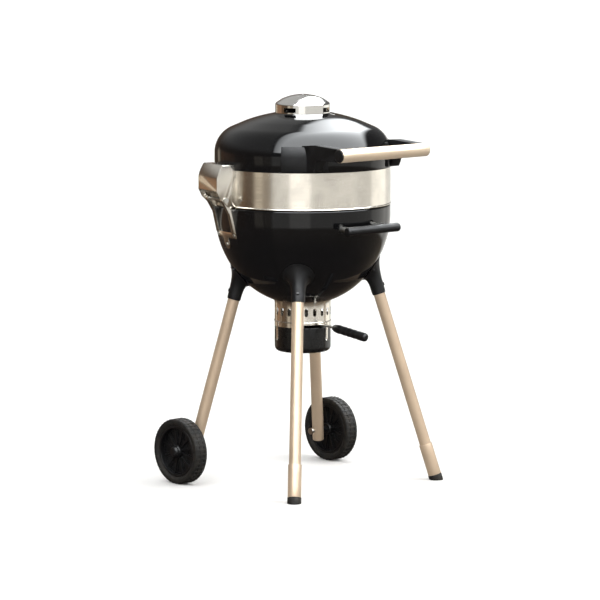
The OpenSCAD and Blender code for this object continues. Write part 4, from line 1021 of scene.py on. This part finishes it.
class GRILL_OT_ash_system(bpy.types.Operator):
    """Builds the perforated vent ring, the ash can with its clips and the damper's lever"""

    bl_idname = "grill.ash_system"
    bl_label = "Ash system"

    def execute(self, context):
        sizes = context.scene.grill_sizes
        ring_r, ring_z, sheet = 77.0, 431.0, 1.2
        mid_z = (ring_z + 14 + FLOOR_ARC[1] - math.sqrt(FLOOR_ARC[2] ** 2 - ring_r ** 2)) / 2

        def wall(out):
            top = [(r + out * 0.2, FLOOR_ARC[1] - math.sqrt((FLOOR_ARC[2] - out) ** 2 - r ** 2))
                   for r in (79.0, 82.0, 86.0)]
            return [(ring_r - out, z) for z in (ring_z, ring_z + 8, ring_z + 20, 480, 495)] + top

        notch = [(-19 - 90, 51.0, 0, 1)]
        sheet_ring = shell("ring_sheet", wall(0), wall(sheet), notch, None, 120)
        pierced = grow("ring_pierced", perforation_tree(), sheet_ring, facing(90),
                       Count=sizes.slot_count, Width=sizes.slot_width,
                       Height=sizes.slot_height, Radius=ring_r * MM, Level=mid_z * MM,
                       Finish=FINISHES["brushed_stainless"])
        bead = lathe("ring_bead", arc((ring_r, ring_z + 14, 1.6), 0, 345, 23), facing(90), 120)
        settle(joined("vent_ring_pierced", [pierced, bead]), "stand", "brushed_stainless",
               "vent_ring")

        top, low = ring_z - 0.5, ring_z - 70.5
        foot = arc((ring_r - 14, low + 14, 14), -90, 0, 10)
        base = arc((ring_r - 14, low + 14, 12.8), 0, -90, 10)
        curl = arc((ring_r - 1.4, top - 1.4, 1.4), 0, 120, 5)
        can = lathe("ash_can_pressed", [(0, low + 1.5), (30, low + 1.5), (34, low), *foot,
                                        (ring_r, low + 40), *curl, (ring_r - 2.6, top - 1.6),
                                        (ring_r - 1.4, top - 3), *base, (34, low + 1.2),
                                        (30, low + 2.7), (0, low + 2.7)], facing(90), 120)
        settle(can, "ash_can", "black_painted_steel", "ash_can")
        settle(softened("ash_can_springs", ["ash_can_clips"], 0.0003), "stand",
               "brushed_stainless", "ash_can_clips", finish="brushed_plate")

        settle(softened("damper_lever_bent", ["damper_lever"], 0.0008), "damper", "zinc_steel",
               "damper_lever")
        lever_in, lever_out, lever_level, drop = 103.0, 252.0, 437, 18
        run = lever_out - lever_in
        slope = math.degrees(math.atan2(drop, run))
        line = facing(0, lever_in, lever_level) @ tilted(90 + slope)
        grip_l, r = 128, 12.0
        start, end = run - grip_l, run
        waves = [(r - 0.7 * (1 - math.cos(2 * math.pi * k / 8)) / 2, start + 24 + k * 2.4)
                 for k in range(33)]
        grip = lathe("lever_grip_moulded", [(0, start), (r - 5.5, start), (r - 4, start + 0.8),
                                            (r - 2, start + 5), (r, start + 20), *waves,
                                            (r, end - 9), (r - 1.2, end - 4),
                                            (r - 4.6, end - 1), (0, end)], line, 56)
        settle(grip, "damper", "black_nylon", "lever_grip")
        return {"FINISHED"}


class GRILL_OT_grates(bpy.types.Operator):
    """Builds the cooking grate with its two lifting loops, and the charcoal grate"""

    bl_idname = "grill.grates"
    bl_label = "Grates"

    def execute(self, context):
        sizes = context.scene.grill_sizes
        tree = grate_tree()
        rod, wire, loop_r, loop_rod_r = 0.004, 0.006, 26, 1.8
        for name, radius, level, pitch in (("cooking", 225, 739.3, sizes.cook_pitch),
                                           ("charcoal", 168, 601.3, sizes.coal_pitch)):
            node = f"{name}_grate"
            beside = math.floor((radius * MM - pitch / 3) / pitch)
            grate = grow(f"{name}_grate_wire", tree, None, facing(90, 0, level) @ tilted(-90, "Z"),
                         Radius=radius * MM, Pitch=pitch, Count=2 * beside + 1, Rod=rod,
                         Wire=wire, Finish=FINISHES["plated_wire"])
            if name == "cooking":
                loops = []
                for side in (-1, 1):
                    path = arc((0, 0, loop_r), 0, 180, 24)
                    x = side * pitch / MM * beside
                    loops.append(bent_rod("loop", path, loop_rod_r,
                                          facing(0, 0, level) @ moved(y=x)))
                grate = joined(f"{name}_grate_wire", [grate, *loops])
            settle(grate, node, "plated_wire", node)
        return {"FINISHED"}


def bent_rod(name, path, radius, place):
    """A round rod along a path in local X and Z."""
    bm = bmesh.new()
    hoops = []
    for i, (x, z) in enumerate(path):
        a, b = path[max(i - 1, 0)], path[min(i + 1, len(path) - 1)]
        ahead = Vector((b[0] - a[0], 0, b[1] - a[1])).normalized()
        side = Vector((0, 1, 0))
        up = ahead.cross(side)
        hoops.append([bm.verts.new((Vector((x, 0, z)) + side * radius * math.cos(t)
                                     + up * radius * math.sin(t)) * MM)
                       for t in [2 * math.pi * k / 12 for k in range(12)]])
    for low, high in zip(hoops, hoops[1:]):
        for k in range(12):
            bm.faces.new([low[k], low[k - 1], high[k - 1], high[k]])
    bm.faces.new(hoops[0])
    bm.faces.new(hoops[-1])
    return settle_mesh(name, bm, place)


class GRILL_OT_fittings(bpy.types.Operator):
    """Finishes the small frame parts whose shape is kept: screws, rivets, pins, axles and clips"""

    bl_idname = "grill.fittings"
    bl_label = "Fittings"

    def execute(self, context):
        dress("zinc_steel", "bowl_handle_screws", "hinge_bowl_rivets", "hinge_pin",
              "clip_rivets", "axle_left", "axle_right",
              "vent_ring_screws", "lid_band_rivets", "lid_handle_screws", "hinge_lid_rivets",
              "damper_shaft", "damper_nut")
        dress("black_nylon", "rear_leg_plugs", "axle_spacers")
        dress("black_painted_steel", "sweeper_blades", "socket_bolts")
        dress("brushed_plate", "cook_grate_clips", "coal_grate_clips")
        return {"FINISHED"}


class GRILL_OT_stage(bpy.types.Operator):
    """Sets up the floor, the soft studio light and the camera"""

    bl_idname = "grill.stage"
    bl_label = "Stage"

    camera_azimuth: FloatProperty(name="Azimuth", description="Camera's azimuth from the front",
                                  default=math.radians(-43.25), unit="ROTATION")
    # Upright strips of the room: from and to a side angle off the camera, and a colour
    pale_strips = ((-17.0, 10.0, (1.7, 1.66, 1.58)), (102.0, 140.0, (1.5, 1.47, 1.38)))
    tan_strips = ((-147.0, -137.0, (0.9, 0.75, 0.56)), (-134.0, -100.0, (0.34, 0.20, 0.12)),
                  (-100.0, -80.0, (0.157, 0.10, 0.06)), (-66.0, -53.0, (0.7, 0.62, 0.50)),
                  (-52.0, -42.0, (0.40, 0.34, 0.27)))

    def execute(self, context):
        scene = context.scene
        scene.view_settings.view_transform = "Standard"
        floor = lathe("floor", [(0, -20), (60000, -20), (60000, 0), (0, 0)], None, 64)
        paper, tree, shader = material_of("Matt studio paper", Roughness=0.9)
        tint(tree, shader, linear("#f6f5f3"), linear("#f9f8f6"), pattern(tree, 0.4))
        floor.data.materials.append(paper)
        floor.visible_glossy = False

        for name, spot, size, power in (("key", (2.2, -3.2, 3.6), 2.6, 90.0),
                                        ("fill", (-3.4, -1.8, 2.4), 3.0, 35.0)):
            lamp = bpy.data.lights.new(name, "AREA")
            lamp.energy, lamp.size = power, size
            light = bpy.data.objects.new(name, lamp)
            light.location = spot
            aim = Vector((0, 0, 0.55)) - Vector(spot)
            light.rotation_euler = aim.to_track_quat("-Z", "Y").to_euler()
            light.visible_glossy = False
            scene.collection.objects.link(light)

        self.light_room(scene)

        lens = bpy.data.cameras.new("camera")
        lens.lens, lens.sensor_width = 213.3, 36.0
        lens.clip_start, lens.clip_end = 0.1, 200.0
        camera = bpy.data.objects.new("camera", lens)
        distance, height, dip, yaw = 9.681, 1.708, 7.116, 0.044
        out = facing(math.degrees(self.camera_azimuth), distance / MM)
        camera.location = out.translation + Vector((0, 0, height))
        camera.rotation_euler = (math.radians(90 - dip), 0,
                                 self.camera_azimuth + math.radians(yaw))
        scene.collection.objects.link(camera)
        scene.camera = camera
        return {"FINISHED"}

    def light_room(self, scene):
        """White light all round, and for reflections a dim room with one high window."""
        world = bpy.data.worlds.new("Studio room")
        scene.world = world
        world.use_nodes = True
        tree = world.node_tree
        tree.nodes.clear()
        ray = add(tree, "ShaderNodeTexCoord").outputs["Generated"]
        turned = add(tree, "ShaderNodeVectorRotate",
                     {"Vector": ray, "Angle": -self.camera_azimuth}, rotation_type="Z_AXIS")
        part = add(tree, "ShaderNodeSeparateXYZ", {0: turned.outputs[0]})
        side = math_node(tree, "DEGREES", math_node(
            tree, "ARCTAN2", part.outputs["X"],
            math_node(tree, "MULTIPLY", part.outputs["Y"], -1.0)))
        level = math_node(tree, "DEGREES", math_node(tree, "ARCSINE", part.outputs["Z"]))

        def step(value, low, high):
            return add(tree, "ShaderNodeMapRange", {"Value": value, "From Min": low,
                                                    "From Max": high},
                       interpolation_type="SMOOTHSTEP").outputs[0]

        def between(value, low, high, soft):
            rise = step(value, low - soft, low + soft)
            fall = step(value, high - soft, high + soft)
            return math_node(tree, "SUBTRACT", rise, fall)

        def over(under, colour, mask):
            return add(tree, "ShaderNodeMix", {0: mask, 6: under, 7: (*colour, 1.0)},
                       data_type="RGBA").outputs[2]

        front = add(tree, "ShaderNodeVectorMath", {0: ray, 1: (0.393, -0.919, 0.0)},
                    operation="DOT_PRODUCT").outputs["Value"]
        near = between(level, -15.0, 4.0, 1.5)
        lit = over((0.08, 0.06, 0.045, 1.0), (0.25, 0.21, 0.16), step(level, -45.0, -14.0))
        lit = over(lit, (0.95, 0.93, 0.88), near)
        lit = over(lit, (0.16, 0.16, 0.16), step(level, 3.0, 5.5))
        for low, high, colour in self.pale_strips:
            mask = math_node(tree, "MULTIPLY", near, between(side, low, high, 2.0))
            lit = over(lit, colour, mask)
        dark = over((0.05, 0.035, 0.025, 1.0), (0.12, 0.085, 0.06), step(level, -40.0, -10.0))
        for low, high, colour in self.tan_strips:
            mask = math_node(tree, "MULTIPLY", between(level, -14.0, 2.0, 3.0),
                             between(side, low, high, 1.2))
            dark = over(dark, colour, mask)
        dark = over(dark, (0.58, 0.58, 0.57), step(level, 6.0, 30.0))
        seen = add(tree, "ShaderNodeMix", {0: step(front, -0.34, -0.26), 6: dark, 7: lit},
                   data_type="RGBA").outputs[2]
        # One large window high up in front, fainter towards its far edge
        strength = add(tree, "ShaderNodeMapRange", {"Value": front, "From Min": -0.30,
                                                    "From Max": -0.12, "To Min": 3.5,
                                                    "To Max": 12.0}).outputs[0]
        pane = add(tree, "ShaderNodeVectorMath", {0: (0.95, 0.98, 1.0), "Scale": strength},
                   operation="SCALE").outputs[0]
        across = add(tree, "ShaderNodeSeparateXYZ", {0: ray}).outputs["X"]
        opening = math_node(tree, "MULTIPLY", step(level, 17.0, 21.0), step(front, -0.28, -0.24))
        opening = math_node(tree, "MULTIPLY", opening,
                            math_node(tree, "SUBTRACT", 1.0, step(across, 0.72, 0.80)))
        seen = add(tree, "ShaderNodeMix", {0: opening, 6: seen, 7: pane}, data_type="RGBA")
        glossy = add(tree, "ShaderNodeLightPath").outputs["Is Glossy Ray"]
        colour = add(tree, "ShaderNodeMix", {0: glossy, 6: (1.0, 1.0, 1.0, 1.0),
                                             7: seen.outputs[2]}, data_type="RGBA")
        background = add(tree, "ShaderNodeBackground", {"Color": colour.outputs[2],
                                                        "Strength": 1.0})
        add(tree, "ShaderNodeOutputWorld", {"Surface": background.outputs[0]})


PIECES = (GRILL_OT_stage, GRILL_OT_bowl, GRILL_OT_lid, GRILL_OT_top_vent, GRILL_OT_lid_handle,
          GRILL_OT_bowl_handle, GRILL_OT_hinge, GRILL_OT_legs, GRILL_OT_wheels,
          GRILL_OT_ash_system, GRILL_OT_grates, GRILL_OT_fittings)


class GRILL_PT_panel(bpy.types.Panel):
    """Lists the grill's pieces, sizes and colours"""

    bl_idname = "GRILL_PT_panel"
    bl_label = "Kettle grill"
    bl_space_type = "VIEW_3D"
    bl_region_type = "UI"
    bl_category = "Grill"

    def draw(self, context):
        for piece in PIECES:
            self.layout.operator(piece.bl_idname)
        for group in (context.scene.grill_sizes, context.scene.grill_colours):
            box = self.layout.box()
            for key in group.__annotations__:
                box.prop(group, key)


CLASSES = (GrillSizes, GrillColours, *PIECES, GRILL_PT_panel)


def register():
    for item in CLASSES:
        bpy.utils.register_class(item)
    bpy.types.Scene.grill_sizes = PointerProperty(type=GrillSizes)
    bpy.types.Scene.grill_colours = PointerProperty(type=GrillColours)


def unregister():
    del bpy.types.Scene.grill_colours
    del bpy.types.Scene.grill_sizes
    for item in reversed(CLASSES):
        bpy.utils.unregister_class(item)


def main():
    register()
    mix_finishes(bpy.context.scene.grill_colours)
    for piece in PIECES:
        group, name = piece.bl_idname.split(".")
        getattr(getattr(bpy.ops, group), name)()


if __name__ == "__main__":
    main()
